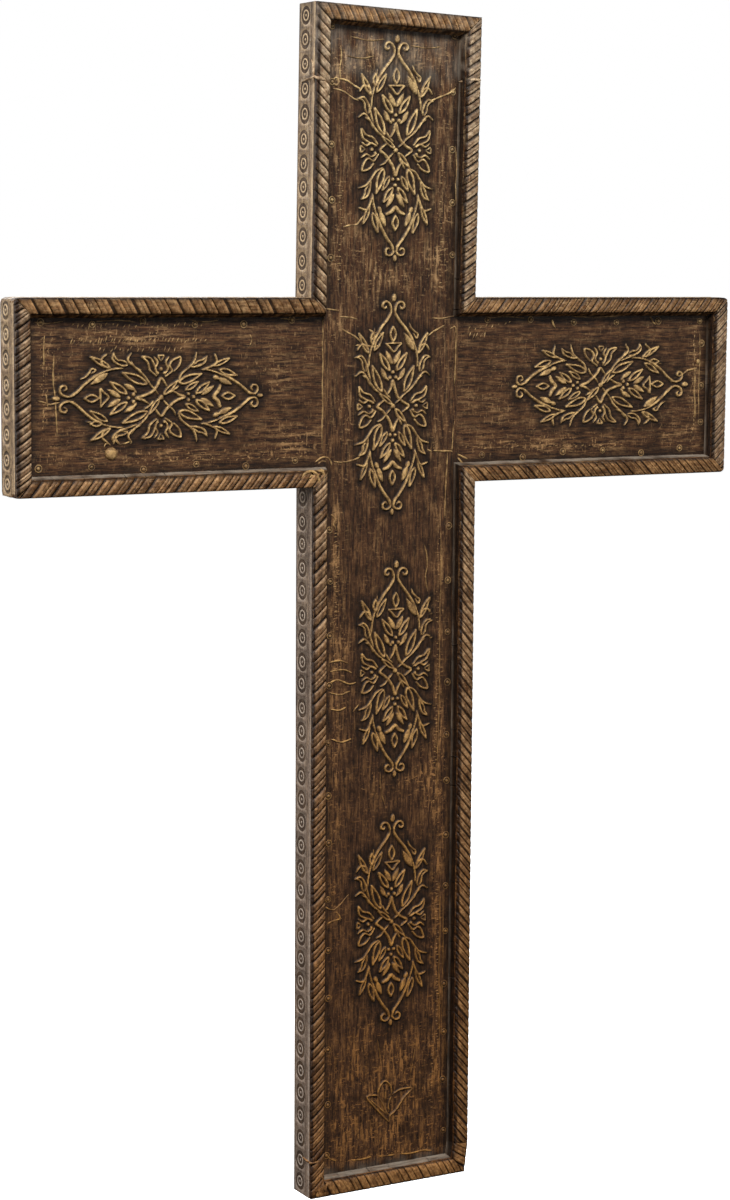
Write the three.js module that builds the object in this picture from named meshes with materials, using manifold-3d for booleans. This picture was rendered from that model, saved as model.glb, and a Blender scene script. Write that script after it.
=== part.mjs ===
// Carved wooden wall cross, in millimetres.
// X runs across the cross to the right, Z up, and Y into the wall. The back lies on the wall at Y = 0,
// the carved front faces -Y, and the origin is on the back at the centre of the crossing.
// The upright and the two arms are boards that meet along the seams seen at the crossing.

import * as THREE from 'three';
import { mergeVertices } from 'three/addons/utils/BufferGeometryUtils.js';
import Module from 'manifold-3d';

const wasm = await Module();
wasm.setup();

// Driving sizes of the cross
const limbWidth = 200;
const armSpan = 872;
const headHeight = 402;
const footLength = 880;
const boardThickness = 36;
const panelThickness = 28;

// The head was sawn a little out of square, and the foot's right corner is worn away
const headSlope = 7;
const headLean = 4;
const footTaper = 4;
const footTaperHeight = 34;

// The rope moulding on the front edge, and the slope from it down to the sunk panel
const rim = 0.4;
const mitreLap = 0.1;
const ropeWidth = 15;
const ropeHeight = 5.5;
const ropeGroove = 2.6;
const ropePitch = 24;
const ropeSkew = 1.2;
const ropeShoulder = 0.27;
const ropeKerb = 0.3;
const ropeSunk = 0.8;
const slopeWidth = 4.4;

// The seams between the boards run this far inside the outline, and leave this gap
const seamInset = 17;
const seamGap = 0.3;

// The six medallions: centre in X and Z, and the turn of their top to the left
const reliefHeight = 2;
const quarterTurn = Math.PI / 2;
const medallions = [
  { centre: [3, 255.7], turn: 0 },
  { centre: [2, -16.4], turn: 0 },
  { centre: [7, -304.2], turn: 0 },
  { centre: [5, -583.7], turn: 0 },
  { centre: [-272, -2], turn: -quarterTurn },
  { centre: [270, 2], turn: quarterTurn },
];

// A closed mesh as a solid that can be joined and cut
function solid(geometry) {
  const bare = geometry.clone();
  bare.deleteAttribute('normal');
  bare.deleteAttribute('uv');
  const merged = mergeVertices(bare);
  const mesh = new wasm.Mesh({
    numProp: 3,
    vertProperties: new Float32Array(merged.attributes.position.array),
    triVerts: new Uint32Array(merged.index.array),
  });
  return new wasm.Manifold(mesh);
}

// A solid back as a mesh geometry
function geometryOf(body) {
  const mesh = body.getMesh();
  const geometry = new THREE.BufferGeometry();
  geometry.setAttribute('position', new THREE.BufferAttribute(mesh.vertProperties, 3));
  geometry.setIndex(new THREE.BufferAttribute(mesh.triVerts, 1));
  geometry.computeVertexNormals();
  return geometry;
}

// An indexed geometry from corner points and triangles
function facets(points, triangles) {
  const geometry = new THREE.BufferGeometry();
  geometry.setAttribute('position', new THREE.Float32BufferAttribute(points.flat(), 3));
  geometry.setIndex(triangles.flat());
  return geometry;
}

// The outline is walked anticlockwise as seen from the front
const half = limbWidth / 2;
const reach = armSpan / 2;
const lean = headLean / 2;
const slope = headSlope / 2;
const outline = [
  [-half, -footLength],
  [half - footTaper, -footLength],
  [half, -footLength + footTaperHeight],
  [half, -half],
  [reach, -half],
  [reach, half],
  [half - lean, half],
  [half + lean, headHeight - slope],
  [-half + lean, headHeight + slope],
  [-half - lean, half],
  [-reach, half],
  [-reach, -half],
  [-half, -half],
];

// How the rope is laid on each edge of the outline: 1 leans like a slash, -1 like a backslash
const ropeHand = [-1, -1, -1, -1, 1, 1, 1, -1, -1, -1, 1, 1, 1];

// The same outline moved inwards by a distance, each corner where the moved edges meet
function inset(corners, distance) {
  const count = corners.length;
  return corners.map(([x, z], index) => {
    const [beforeX, beforeZ] = corners[(index + count - 1) % count];
    const [afterX, afterZ] = corners[(index + 1) % count];
    const arriving = new THREE.Vector2(x - beforeX, z - beforeZ).normalize();
    const leaving = new THREE.Vector2(afterX - x, afterZ - z).normalize();
    const inward = new THREE.Vector2(-arriving.y - leaving.y, arriving.x + leaving.x);
    const scale = distance / (1 + arriving.dot(leaving));
    return [x + inward.x * scale, z + inward.y * scale];
  });
}

// The solid between one outline at a front Y and a like outline at a back Y
function loft(frontOutline, frontY, backOutline, backY) {
  const count = frontOutline.length;
  const points = [
    ...frontOutline.map(([x, z]) => [x, frontY, z]),
    ...backOutline.map(([x, z]) => [x, backY, z]),
  ];
  const contour = frontOutline.map(([x, z]) => new THREE.Vector2(x, z));
  const triangles = [];
  for (const [a, b, c] of THREE.ShapeUtils.triangulateShape(contour, [])) {
    triangles.push([a, b, c], [count + a, count + c, count + b]);
  }
  for (let index = 0; index < count; index += 1) {
    const next = (index + 1) % count;
    triangles.push([index, count + index, next], [next, count + index, count + next]);
  }
  return solid(facets(points, triangles));
}

// The cross-shaped board with its sunk panel
function board() {
  const whole = loft(outline, -boardThickness, outline, 0);
  const fall = slopeWidth / (boardThickness - panelThickness);
  const above = 1;
  const mouth = inset(outline, 2 * rim + ropeWidth - fall * above);
  const floor = inset(outline, 2 * rim + ropeWidth + slopeWidth);
  return whole.subtract(loft(mouth, -boardThickness - above, floor, -panelThickness));
}

// One length of rope moulding along an edge of the outline, mitred to its neighbours
function ropeLength(start, end, innerStart, innerEnd, hand) {
  const along = new THREE.Vector2(end[0] - start[0], end[1] - start[1]);
  const length = along.length();
  along.normalize();
  const across = new THREE.Vector2(-along.y, along.x);
  const groove = new THREE.Vector2(1, hand);
  const skew = ropeSkew * Math.sign(groove.dot(along) * groove.dot(across));
  const sides = [0, 0, ropeShoulder, 1 - ropeShoulder, 1, 1].map((part) => part * ropeWidth);
  const corners = sides.length;
  const turns = Math.round(length / ropePitch);
  const step = length / turns / 2;
  const spare = 4;
  const points = [];
  const triangles = [];
  for (let station = 0; station <= 2 * (turns + spare); station += 1) {
    const crown = ropeHeight - (station % 2) * ropeGroove;
    const heights = [-ropeSunk, ropeKerb, crown, crown, ropeKerb, -ropeSunk];
    sides.forEach((side, row) => {
      const run = (station - spare) * step + skew * (side - ropeWidth / 2);
      const x = start[0] + along.x * run + across.x * side;
      const z = start[1] + along.y * run + across.y * side;
      points.push([x, -boardThickness - heights[row], z]);
    });
    if (station > 0) {
      const here = corners * station;
      const back = here - corners;
      for (let row = 0; row < corners; row += 1) {
        const next = (row + 1) % corners;
        triangles.push([back + row, here + row, back + next], [back + next, here + row, here + next]);
      }
    }
  }
  const last = points.length - corners;
  for (let row = 1; row + 1 < corners; row += 1) {
    triangles.push([0, row, row + 1], [last, last + row + 1, last + row]);
  }
  const wedge = inset([start, end, innerEnd, innerStart], -mitreLap);
  const front = -boardThickness - 2 * ropeHeight;
  const back = -boardThickness + 2 * ropeSunk;
  return solid(facets(points, triangles)).intersect(loft(wedge, front, wedge, back));
}

// Every length of rope around the outline
function ropes() {
  const outer = inset(outline, rim);
  const inner = inset(outline, rim + ropeWidth);
  return outline.map((corner, index) => {
    const next = (index + 1) % outline.length;
    return ropeLength(outer[index], outer[next], inner[index], inner[next], ropeHand[index]);
  });
}

// A medallion element stands on the panel in its own plane: U to its right and V to its top.
// Its foot is sunk a little below the panel so that the two join.
const sunkFoot = 0.3;
const leafBelly = 0.42;

// A leaf as a four-sided hip, from its foot to its tip
function leaf(foot, tip, halfWidth) {
  const spine = tip.clone().sub(foot);
  const middle = foot.clone().addScaledVector(spine, leafBelly);
  const aside = new THREE.Vector2(-spine.y, spine.x).setLength(halfWidth);
  const left = middle.clone().add(aside);
  const right = middle.clone().sub(aside);
  const points = [foot, right, tip, left].map((point) => [point.x, point.y, -sunkFoot]);
  points.push([middle.x, middle.y, reliefHeight]);
  return { points, triangles: [[0, 1, 4], [1, 2, 4], [2, 3, 4], [3, 0, 4], [0, 3, 2], [0, 2, 1]] };
}

// A stem as a ridge along a path, pointed at both ends
function stem(path, halfWidth) {
  const points = [];
  const triangles = [];
  path.forEach((place, index) => {
    if (index === 0 || index === path.length - 1) {
      points.push([place.x, place.y, -sunkFoot]);
      return;
    }
    const ahead = path[index + 1].clone().sub(path[index - 1]);
    const aside = new THREE.Vector2(-ahead.y, ahead.x).setLength(halfWidth);
    points.push([place.x + aside.x, place.y + aside.y, -sunkFoot]);
    points.push([place.x, place.y, reliefHeight]);
    points.push([place.x - aside.x, place.y - aside.y, -sunkFoot]);
  });
  const last = points.length - 1;
  for (let row = 0; row < 3; row += 1) {
    const next = (row + 1) % 3;
    triangles.push([0, 1 + next, 1 + row], [last, last - 3 + row, last - 3 + next]);
    for (let here = 1; here + 3 < last; here += 3) {
      triangles.push([here + row, here + next, here + 3 + row]);
      triangles.push([here + next, here + 3 + next, here + 3 + row]);
    }
  }
  return { points, triangles };
}

// A round stud
function dot(centre, radius) {
  const below = centre.clone().add(new THREE.Vector2(0, -radius));
  const over = centre.clone().add(new THREE.Vector2(0, radius));
  return leaf(below, over, radius);
}

// The half of the arabesque that repeats on both sides of its middle line
function arabesqueSide(side) {
  const at = (u, v) => new THREE.Vector2(side * u, v);
  return [
    // upper scroll and the stem that swings out from it
    stem([at(9, 104), at(13, 109), at(6, 112), at(3, 99), at(15, 83), at(25, 68), at(30, 44)], 1.7),
    leaf(at(27, 72), at(21, 88), 2.8),
    leaf(at(24, 60), at(13, 78), 3.2),
    leaf(at(31, 58), at(42, 78), 3),
    stem([at(32, 58), at(38, 67), at(45, 61)], 1.9),
    // hooked leaf and fork on the outside of the lozenge
    stem([at(32, 37), at(36, 52), at(46, 53)], 2.8),
    stem([at(16, 14), at(36, 35), at(45, 34)], 1.8),
    // leaves inside the lozenge, above the knot
    leaf(at(14, 16), at(26, 44), 4.2),
    leaf(at(1, 45), at(9, 61), 2.6),
    leaf(at(5, 39), at(16, 57), 3.6),
    stem([at(5, 28), at(9, 32), at(14, 42)], 2.4),
    dot(at(3.7, 31), 2),
    // tulip at the end of the knot
    leaf(at(22, 6), at(42, 21), 4),
    leaf(at(24, 0), at(43, 0), 3),
    stem([at(20, -6), at(33, -11), at(41, -22)], 2.8),
    // leaves inside the lozenge, below the knot
    leaf(at(15, -20), at(23, -46), 4.2),
    leaf(at(6, -28), at(14, -42), 3),
    leaf(at(3, -40), at(14, -54), 3.1),
    leaf(at(2, -47), at(11, -61), 2.6),
    // hooked leaves on the outside
    stem([at(24, -19), at(31, -31), at(44, -39)], 1.8),
    leaf(at(31, -34), at(41, -54), 2.8),
    stem([at(28, -48), at(34, -61), at(44, -63)], 1.8),
    leaf(at(32, -60), at(39, -78), 2.5),
    leaf(at(28, -66), at(22, -87), 3.3),
    leaf(at(20, -61), at(12, -81), 2.8),
    // lower stem and its scroll
    stem([at(28, -50), at(24, -68), at(3, -101), at(6, -110), at(12, -108), at(9, -103)], 1.8),
  ];
}

// The parts of the arabesque that stand on its middle line, and the strap knot that doesn't mirror
function arabesqueMiddle() {
  const at = (u, v) => new THREE.Vector2(u, v);
  return [
    leaf(at(0, 113), at(0, 121), 2.4),
    leaf(at(0, 71), at(0, 85), 4),
    leaf(at(0, 57), at(0, 69), 8),
    dot(at(0, 37), 2),
    stem([at(-6, 14), at(0, 27), at(6, 9), at(19, 0), at(12, -6)], 1.7),
    stem([at(-12, 6), at(-19, 0), at(-7, -9), at(0, -26), at(6, -14)], 1.7),
    leaf(at(-2, 2), at(-16, 13), 2.6),
    leaf(at(2, -2), at(16, -15), 2.6),
    stem([at(3, 3), at(9, 8), at(18, 15)], 1.3),
    stem([at(-3, -3), at(-9, -9), at(-18, -16)], 1.3),
    dot(at(0, 0), 2.4),
    dot(at(0, -37), 2),
    stem([at(-11, -68), at(0, -60), at(11, -68)], 2.4),
    leaf(at(0, -84), at(0, -70), 4),
    leaf(at(0, -111), at(0, -125), 2.4),
  ];
}

// An element with its faces turned to look outwards, whichever way round its path was walked
function outward(element) {
  let volume = 0;
  for (const corners of element.triangles) {
    const [a, b, c] = corners.map((index) => new THREE.Vector3(...element.points[index]));
    volume += a.dot(b.cross(c));
  }
  const triangles = element.triangles.map(([a, b, c]) => (volume < 0 ? [a, c, b] : [a, b, c]));
  return { points: element.points, triangles };
}

// One element turned and moved to its medallion's place on the panel
function onPanel(element, medallion) {
  const cos = Math.cos(medallion.turn);
  const sin = Math.sin(medallion.turn);
  const points = element.points.map(([u, v, height]) => [
    medallion.centre[0] + u * cos - v * sin,
    -panelThickness - height,
    medallion.centre[1] + u * sin + v * cos,
  ]);
  return solid(facets(points, element.triangles));
}

// The whole carved cross, before it is parted into its boards
let cross = board();
for (const length of ropes()) {
  cross = cross.add(length);
}
const arabesque = [...arabesqueMiddle(), ...arabesqueSide(1), ...arabesqueSide(-1)].map(outward);
for (const medallion of medallions) {
  for (const element of arabesque) {
    cross = cross.add(onPanel(element, medallion));
  }
}

// The upright's zone: the whole height, and between the seams where the arms come in.
// Each seam runs from the panel's corner out through the outline's inner corner.
const far = 2 * footLength;
const overshoot = 1.5;
const seamLine = inset(outline, seamInset);
function seamCorner(cornerIndex) {
  const [x, z] = outline[cornerIndex];
  const inner = seamLine[cornerIndex];
  const outer = [inner[0] + overshoot * (x - inner[0]), inner[1] + overshoot * (z - inner[1])];
  return { inner, outer };
}
const lowerRight = seamCorner(3);
const upperRight = seamCorner(6);
const upperLeft = seamCorner(9);
const lowerLeft = seamCorner(12);
const uprightZone = [
  [lowerLeft.outer[0], -far],
  [lowerRight.outer[0], -far],
  lowerRight.outer,
  lowerRight.inner,
  upperRight.inner,
  upperRight.outer,
  [upperRight.outer[0], far],
  [upperLeft.outer[0], far],
  upperLeft.outer,
  upperLeft.inner,
  lowerLeft.inner,
  lowerLeft.outer,
];
const uprightCut = inset(uprightZone, seamGap / 2);
const armCut = inset(uprightZone, -seamGap / 2);
const depth = boardThickness + ropeHeight;

// A box that takes in everything to the left or right of the upright
function sideBox(side) {
  const box = new THREE.BoxGeometry(armSpan, 4 * depth, armSpan);
  box.translate(side * armSpan / 2, 0, 0);
  return solid(box);
}

const arms = cross.subtract(loft(armCut, -2 * depth, armCut, depth));
const boards = {
  upright: cross.intersect(loft(uprightCut, -2 * depth, uprightCut, depth)),
  left_arm: arms.intersect(sideBox(-1)),
  right_arm: arms.intersect(sideBox(1)),
};

// Dark stained wood with the gold rubbed back to brown
const stain = { upright: 0x5b4029, left_arm: 0x5e432b, right_arm: 0x5a3f28 };
const group = new THREE.Group();
for (const [name, body] of Object.entries(boards)) {
  const material = new THREE.MeshStandardMaterial({ color: stain[name], roughness: 0.55, metalness: 0.1 });
  const mesh = new THREE.Mesh(geometryOf(body), material);
  mesh.name = name;
  group.add(mesh);
}

export default group;
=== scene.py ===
import math
import bmesh
import bpy
import numpy as np
from mathutils import Matrix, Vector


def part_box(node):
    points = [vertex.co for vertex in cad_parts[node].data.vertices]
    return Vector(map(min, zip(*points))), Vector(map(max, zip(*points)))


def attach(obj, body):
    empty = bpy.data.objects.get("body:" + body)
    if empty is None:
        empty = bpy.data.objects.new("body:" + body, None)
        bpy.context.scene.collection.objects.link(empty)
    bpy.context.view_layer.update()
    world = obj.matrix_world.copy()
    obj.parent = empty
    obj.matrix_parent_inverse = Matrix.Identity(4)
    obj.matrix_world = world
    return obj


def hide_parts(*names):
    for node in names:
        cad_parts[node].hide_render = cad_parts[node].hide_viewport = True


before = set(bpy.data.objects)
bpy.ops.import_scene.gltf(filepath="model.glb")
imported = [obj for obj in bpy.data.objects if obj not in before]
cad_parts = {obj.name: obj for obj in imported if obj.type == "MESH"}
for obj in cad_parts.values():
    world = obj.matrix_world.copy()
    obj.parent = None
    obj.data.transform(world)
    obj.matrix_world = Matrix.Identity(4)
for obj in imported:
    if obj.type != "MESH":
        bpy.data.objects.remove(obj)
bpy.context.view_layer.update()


# The viewpoint
# The photograph was taken from 2.9 m away, well to the left of the cross and a little above its crossing,
# with the camera turned 29 degrees to the right and 7 degrees down. These numbers were fitted to the outline.
lens_mm = 81.3
sensor_mm = 36.0
stand_m = np.array([-1.4463, -2.5633, 0.1341])
yaw, pitch, roll = np.radians([29.18, 7.044, 0.376])
ahead = np.array([math.sin(yaw) * math.cos(pitch), math.cos(yaw) * math.cos(pitch), -math.sin(pitch)])
level = np.array([math.cos(yaw), -math.sin(yaw), 0.0])
upward = np.cross(level, ahead)
camera_x = math.cos(roll) * level + math.sin(roll) * upward
camera_y = math.cos(roll) * upward - math.sin(roll) * level


def placed(axes, place):
    """An object's matrix from its three axes and its place."""
    turn = np.column_stack(axes)
    return Matrix([[*row, at] for row, at in zip(turn, place)] + [[0, 0, 0, 1]])


camera_data = bpy.data.cameras.new("camera")
camera_data.lens = lens_mm
camera_data.sensor_width = sensor_mm
camera = bpy.data.objects.new("camera", camera_data)
camera.matrix_world = placed([camera_x, camera_y, -ahead], stand_m)
bpy.context.scene.collection.objects.link(camera)
bpy.context.scene.camera = camera
bpy.context.scene.view_settings.view_transform = "Standard"


# The studio
# A white room seen only as a plain backdrop, a pale floor under the cross, and soft square lamps: the main
# one high in front, fills on the right and from below, and broad ones on the left and behind.
white = (1.0, 1.0, 1.0, 1.0)
world = bpy.data.worlds.new("white_room")
world.use_nodes = True
world.node_tree.nodes["Background"].inputs["Color"].default_value = white
world.cycles_visibility.diffuse = False
world.cycles_visibility.glossy = False
bpy.context.scene.world = world


def lamp(name, place, aim, size, power):
    """A square soft lamp at a place, turned to look at a point, in metres and watts."""
    data = bpy.data.lights.new(name, "AREA")
    data.size = size
    data.energy = power
    light = bpy.data.objects.new(name, data)
    back = np.subtract(place, aim) / np.linalg.norm(np.subtract(place, aim))
    side = np.cross((0, 0, 1), back) / np.linalg.norm(np.cross((0, 0, 1), back))
    light.matrix_world = placed([side, np.cross(back, side), back], place)
    bpy.context.scene.collection.objects.link(light)


lamp("main_lamp", (-1.0, -2.3, 2.4), (0, 0, 0), 0.9, 140)
lamp("right_fill", (2.8, -3.4, 0.6), (0, 0, -0.2), 3.0, 30)
lamp("left_sheet", (-3.0, 0.9, 0.6), (0, 0, -0.2), 2.6, 110)
lamp("low_fill", (-0.4, -3.0, -1.6), (0, 0, -0.3), 3.0, 10)
lamp("rear_lamp", (0.8, 3.6, 1.6), (0, 0, -0.2), 3.0, 110)

floor_drop_m = 1.15
floor_half_m = 14.0
floor_corners = [(side_x * floor_half_m, side_y * floor_half_m, -floor_drop_m)
                 for side_x, side_y in ((-1, -1), (1, -1), (1, 1), (-1, 1))]
floor_mesh = bpy.data.meshes.new("floor")
floor_mesh.from_pydata(floor_corners, [], [(0, 1, 2, 3)])
floor_paint = bpy.data.materials.new("floor_paint")
floor_paint.use_nodes = True
paint = floor_paint.node_tree.nodes["Principled BSDF"].inputs
paint["Base Color"].default_value = (0.9, 0.9, 0.9, 1.0)
paint["Emission Color"].default_value = white
paint["Emission Strength"].default_value = 1.0
floor_mesh.materials.append(floor_paint)
floor = bpy.data.objects.new("floor", floor_mesh)
floor.visible_diffuse = False
floor.visible_glossy = False
bpy.context.scene.collection.objects.link(floor)


# The cross's outline, in millimetres
# Three boards of dark stained wood meet at the crossing. The head was sawn a little out of square and
# leans to the right, and the foot narrows to its worn right corner.
def box_mm(node):
    """The lowest and highest corner of a CAD node, in millimetres."""
    low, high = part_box(node)
    return np.array(low) * 1000, np.array(high) * 1000


upright_low, upright_high = box_mm("upright")
right_high = box_mm("right_arm")[1]
half = right_high[2]
reach = right_high[0]
foot_z = upright_low[2]
crown = -upright_low[1]
board_front = 36.0
panel_face = 28.0
head_lean, head_slope = 2.0, 3.5
head_z = upright_high[2] - head_slope
foot_taper, foot_taper_height = 4.0, 34.0
outline = np.array([
    [-half, foot_z], [half - foot_taper, foot_z], [half, foot_z + foot_taper_height],
    [half, -half], [reach, -half], [reach, half],
    [half - head_lean, half], [half + head_lean, head_z - head_slope],
    [-half + head_lean, head_z + head_slope], [-half - head_lean, half],
    [-reach, half], [-reach, -half], [-half, -half],
])


# The finish: stained wood
# Close-grained hardwood, carved, stained almost black, then rubbed back so that the raised work shows
# pale gold-brown. What it gives the eye is hollows dark with wax and painted shade, long brown streaks along
# the grain and a low sheen.
def linear(hex_colour):
    """An sRGB hex colour as linear red, green, blue and alpha."""
    parts = np.array([int(hex_colour[i:i + 2], 16) for i in (1, 3, 5)]) / 255
    curve = np.where(parts <= 0.04045, parts / 12.92, ((parts + 0.055) / 1.055) ** 2.4)
    return (*curve, 1.0)


def add(tree, kind, sockets=None, stops=None, **settings):
    """One shader node: its own settings, its sockets as values or as other nodes' outputs, and a
    ramp's stops as positions with colours."""
    node = tree.nodes.new("ShaderNode" + kind)
    for key, value in settings.items():
        setattr(node, key, value)
    for key, value in (sockets or {}).items():
        if isinstance(value, bpy.types.NodeSocket):
            tree.links.new(value, node.inputs[key])
        else:
            node.inputs[key].default_value = value
    if stops:
        while len(node.color_ramp.elements) < len(stops):
            node.color_ramp.elements.new(0.5)
        for element, (position, colour) in zip(node.color_ramp.elements, stops):
            element.position = position
            element.color = linear(colour)
    return node


# the sockets of a Mix node that mixes colours, by number
mix_factor, mix_a, mix_b, mix_result = 0, 6, 7, 2
# the near-black laid in the carving's hollows stands for wax and for painted shade
patch_wax, dent_wax, hollow_wax_and_shade, grey_dust_and_sheen = map(linear, ("#201307", "#1d1006", "#1a0f07", "#a69a8a"))
# from the foot to the head the wood turns paler: partly fading, partly painted light where the main lamp
# falls stronger
bleach_and_painted_light_from_m, bleach_and_painted_light_to_m = -0.62, 0.28
wood_specular = 0.26
fibre_depth_m, dent_depth_m = 0.0005, 0.0012


def stained_wood(name, along, shades, rubbed, gilt, rub_amount=1.0, roughness=0.5):
    """A procedural stained wood whose grain runs along X or Z. shades are the stain from its darkest to
    its lightest, rubbed the wood where it is worn back and gilt the raised work, the last two each as its
    colour at the cross's foot and at its head, where it is paler: partly faded, partly painted light from the
    high main lamp.
    The piece's finish attribute holds gilt, grime with painted shade, and dust with painted sheen as red,
    green and blue, and how far it is worn as alpha."""
    material = bpy.data.materials.new(name)
    material.use_nodes = True
    tree = material.node_tree
    shader = tree.nodes["Principled BSDF"]
    place = add(tree, "TexCoord").outputs["Object"]
    # how each pattern is stretched: long along the grain, long across it, or even
    fine_grain = {"X": (0.09, 1.0, 1.0), "Z": (1.0, 1.0, 0.09)}[along]
    streaks = {"X": (0.12, 1.0, 1.0), "Z": (1.0, 1.0, 0.12)}[along]
    cross_grain = {"X": (1.0, 0.4, 0.22), "Z": (0.22, 0.4, 1.0)}[along]
    even = (1.0, 1.0, 1.0)

    def noise(size_mm, scale, shift, detail, rough):
        """Noise whose features are about size_mm across, stretched by the scale."""
        moved = add(tree, "Mapping", {"Vector": place, "Scale": [part * 1000 / size_mm for part in scale],
                                      "Location": (shift, 2 * shift, 3 * shift)})
        return add(tree, "TexNoise", {"Vector": moved.outputs[0], "Scale": 1.0, "Detail": detail,
                                      "Roughness": rough}).outputs[0]

    def between(value, low, high, out_low=0.0, out_high=1.0):
        """A value moved from one range to another and held there."""
        return add(tree, "MapRange", {"Value": value, 1: low, 2: high, 3: out_low, 4: out_high}).outputs[0]

    def combine(operation, a, b):
        """Two values put together and held between 0 and 1."""
        return add(tree, "Math", {0: a, 1: b}, operation=operation, use_clamp=True).outputs[0]

    def coat(share, under, over):
        """One colour laid over another by a share."""
        mixed = add(tree, "Mix", {mix_factor: share, mix_a: under, mix_b: over}, data_type="RGBA")
        return mixed.outputs[mix_result]

    worn = add(tree, "Attribute", attribute_name="finish")
    parts = add(tree, "SeparateColor", {0: worn.outputs["Color"]})
    height = add(tree, "SeparateXYZ", {0: place}).outputs[2]
    # lighter towards the head, partly as painted light from the high main lamp
    bleach_and_painted_light = between(height, bleach_and_painted_light_from_m, bleach_and_painted_light_to_m)
    # the wood's pores are about 0.2 mm wide, too fine to show here, so its fibres are drawn 1.7 mm wide
    fibre = noise(1.7, fine_grain, 0, 5.0, 0.7)
    streak = noise(3.4, streaks, 3, 5.0, 0.74)
    patch = noise(30.0, even, 5, 5.0, 0.7)
    scuff = noise(2.2, cross_grain, 7, 4.0, 0.65)
    lump = noise(5.0, even, 9, 5.0, 0.68)
    speck = noise(2.6, even, 12, 2.0, 0.5)
    # the stain sits dark in the pores and thin on the ribs between them
    colour = add(tree, "ValToRGB", {"Fac": fibre},
                 stops=[(0.36, shades[0]), (0.5, shades[1]), (0.64, shades[2])]).outputs[0]
    # it is worn back in streaks and lumps, more in some patches, and scuffed across the grain
    bare = combine("MULTIPLY", between(streak, 0.5, 0.61), between(patch, 0.4, 0.6, 0.15, 0.9))
    nicked = combine("MULTIPLY", between(scuff, 0.55, 0.63), between(lump, 0.47, 0.6))
    dotted = combine("MULTIPLY", between(speck, 0.64, 0.72), between(patch, 0.42, 0.56, 0.2, 1.0))
    rubs = combine("ADD", combine("ADD", bare, nicked), dotted)
    wear = add(tree, "Math", {0: worn.outputs["Alpha"], 1: 2.0 * rub_amount}, operation="MULTIPLY").outputs[0]
    worn_colour = coat(bleach_and_painted_light, linear(rubbed[0]), linear(rubbed[1]))
    colour = coat(combine("MULTIPLY", rubs, wear), colour, worn_colour)
    # black wax stays in patches and in dents; the finish's second channel darkens the hollows of the carving,
    # partly as wax and partly as painted shade
    colour = coat(between(patch, 0.52, 0.32, 0, 0.5), colour, patch_wax)
    colour = coat(between(lump, 0.44, 0.34, 0, 0.6), colour, dent_wax)
    waxed_and_shaded = combine("MULTIPLY", parts.outputs[1], between(fibre, 0.3, 0.66, 1.2, 0.7))
    colour = coat(waxed_and_shaded, colour, hollow_wax_and_shade)
    # the raised work's pale tops have dents too
    gold = coat(bleach_and_painted_light, linear(gilt[0]), linear(gilt[1]))
    gold = coat(between(lump, 0.56, 0.44, 0, 0.65), gold, linear(shades[2]))
    gilded = combine("MULTIPLY", parts.outputs[0], between(speck, 0.3, 0.5, 0.75, 1.0))
    colour = coat(gilded, colour, gold)
    # the finish's third channel lays grey on: dust, and on the moulding's upward slopes painted sheen as well
    dusty = combine("MULTIPLY", parts.outputs[2], between(streak, 0.36, 0.6, 0.25, 1.0))
    colour = coat(dusty, colour, grey_dust_and_sheen)
    tree.links.new(colour, shader.inputs["Base Color"])
    tree.links.new(between(streak, 0.3, 0.7, roughness + 0.1, roughness - 0.1), shader.inputs["Roughness"])
    shader.inputs["Specular IOR Level"].default_value = wood_specular
    # fibres and dents a few tenths of a millimetre deep catch the light
    fine_bump = add(tree, "Bump", {"Height": fibre, "Distance": fibre_depth_m, "Strength": 0.6})
    bump = add(tree, "Bump", {"Height": lump, "Distance": dent_depth_m, "Strength": 0.7,
                              "Normal": fine_bump.outputs[0]})
    tree.links.new(bump.outputs[0], shader.inputs["Normal"])
    return material


# The arabesque
# Six medallions of the same interlaced arabesque are cut in low relief on the sunk panel. Each is a pointed
# lozenge of stems with scrolls at its tips, leaves inside and out, tulips at its sides and a strap knot.
template_step = 0.4
template_half_u, template_half_v = 54.0, 132.0
template_u = np.arange(-template_half_u, template_half_u + template_step / 2, template_step)
template_v = np.arange(-template_half_v, template_half_v + template_step / 2, template_step)
far_off = 20.0
# a stem tapers over this share of its length at each end, and no leaf ends finer than this radius
stem_taper = 0.18
finest_radius = 0.35
leaf_stations = 13


def smooth_path(points, steps=5):
    """A curve through given points: between each two, the cubic whose end slopes are half the chord
    of their neighbours."""
    p = np.asarray(points, float)
    p = np.vstack([2 * p[0] - p[1], p, 2 * p[-1] - p[-2]])
    t = np.linspace(0, 1, steps, endpoint=False)[:, None]
    spans = [0.5 * (2 * b + (c - a) * t + (2 * a - 5 * b + 4 * c - d) * t ** 2
                    + (3 * b - a - 3 * c + d) * t ** 3)
             for a, b, c, d in zip(p, p[1:], p[2:], p[3:])]
    return np.vstack([*spans, p[-2]])


def stem(points, width, tip=0.6):
    """A raised line through points: half its width on each side, falling to a share of that at both ends."""
    path = smooth_path(points)
    share = np.linspace(0, 1, len(path))
    ends = np.minimum(1, np.minimum(share, 1 - share) / stem_taper)
    return [(path, width / 2 * (tip + (1 - tip) * ends))]


def leaf_side(foot, tip, belly, fat):
    """A leaf's spine from foot to tip, and how far its side stands off it at each place: the belly times
    sin(pi t to the power fat)."""
    foot, tip = np.array(foot, float), np.array(tip, float)
    t = np.linspace(0, 1, leaf_stations)[:, None]
    spine = tip - foot
    across = np.array([-spine[1], spine[0]]) / np.linalg.norm(spine)
    return foot + spine * t, across * belly * np.sin(math.pi * t ** fat)


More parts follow.
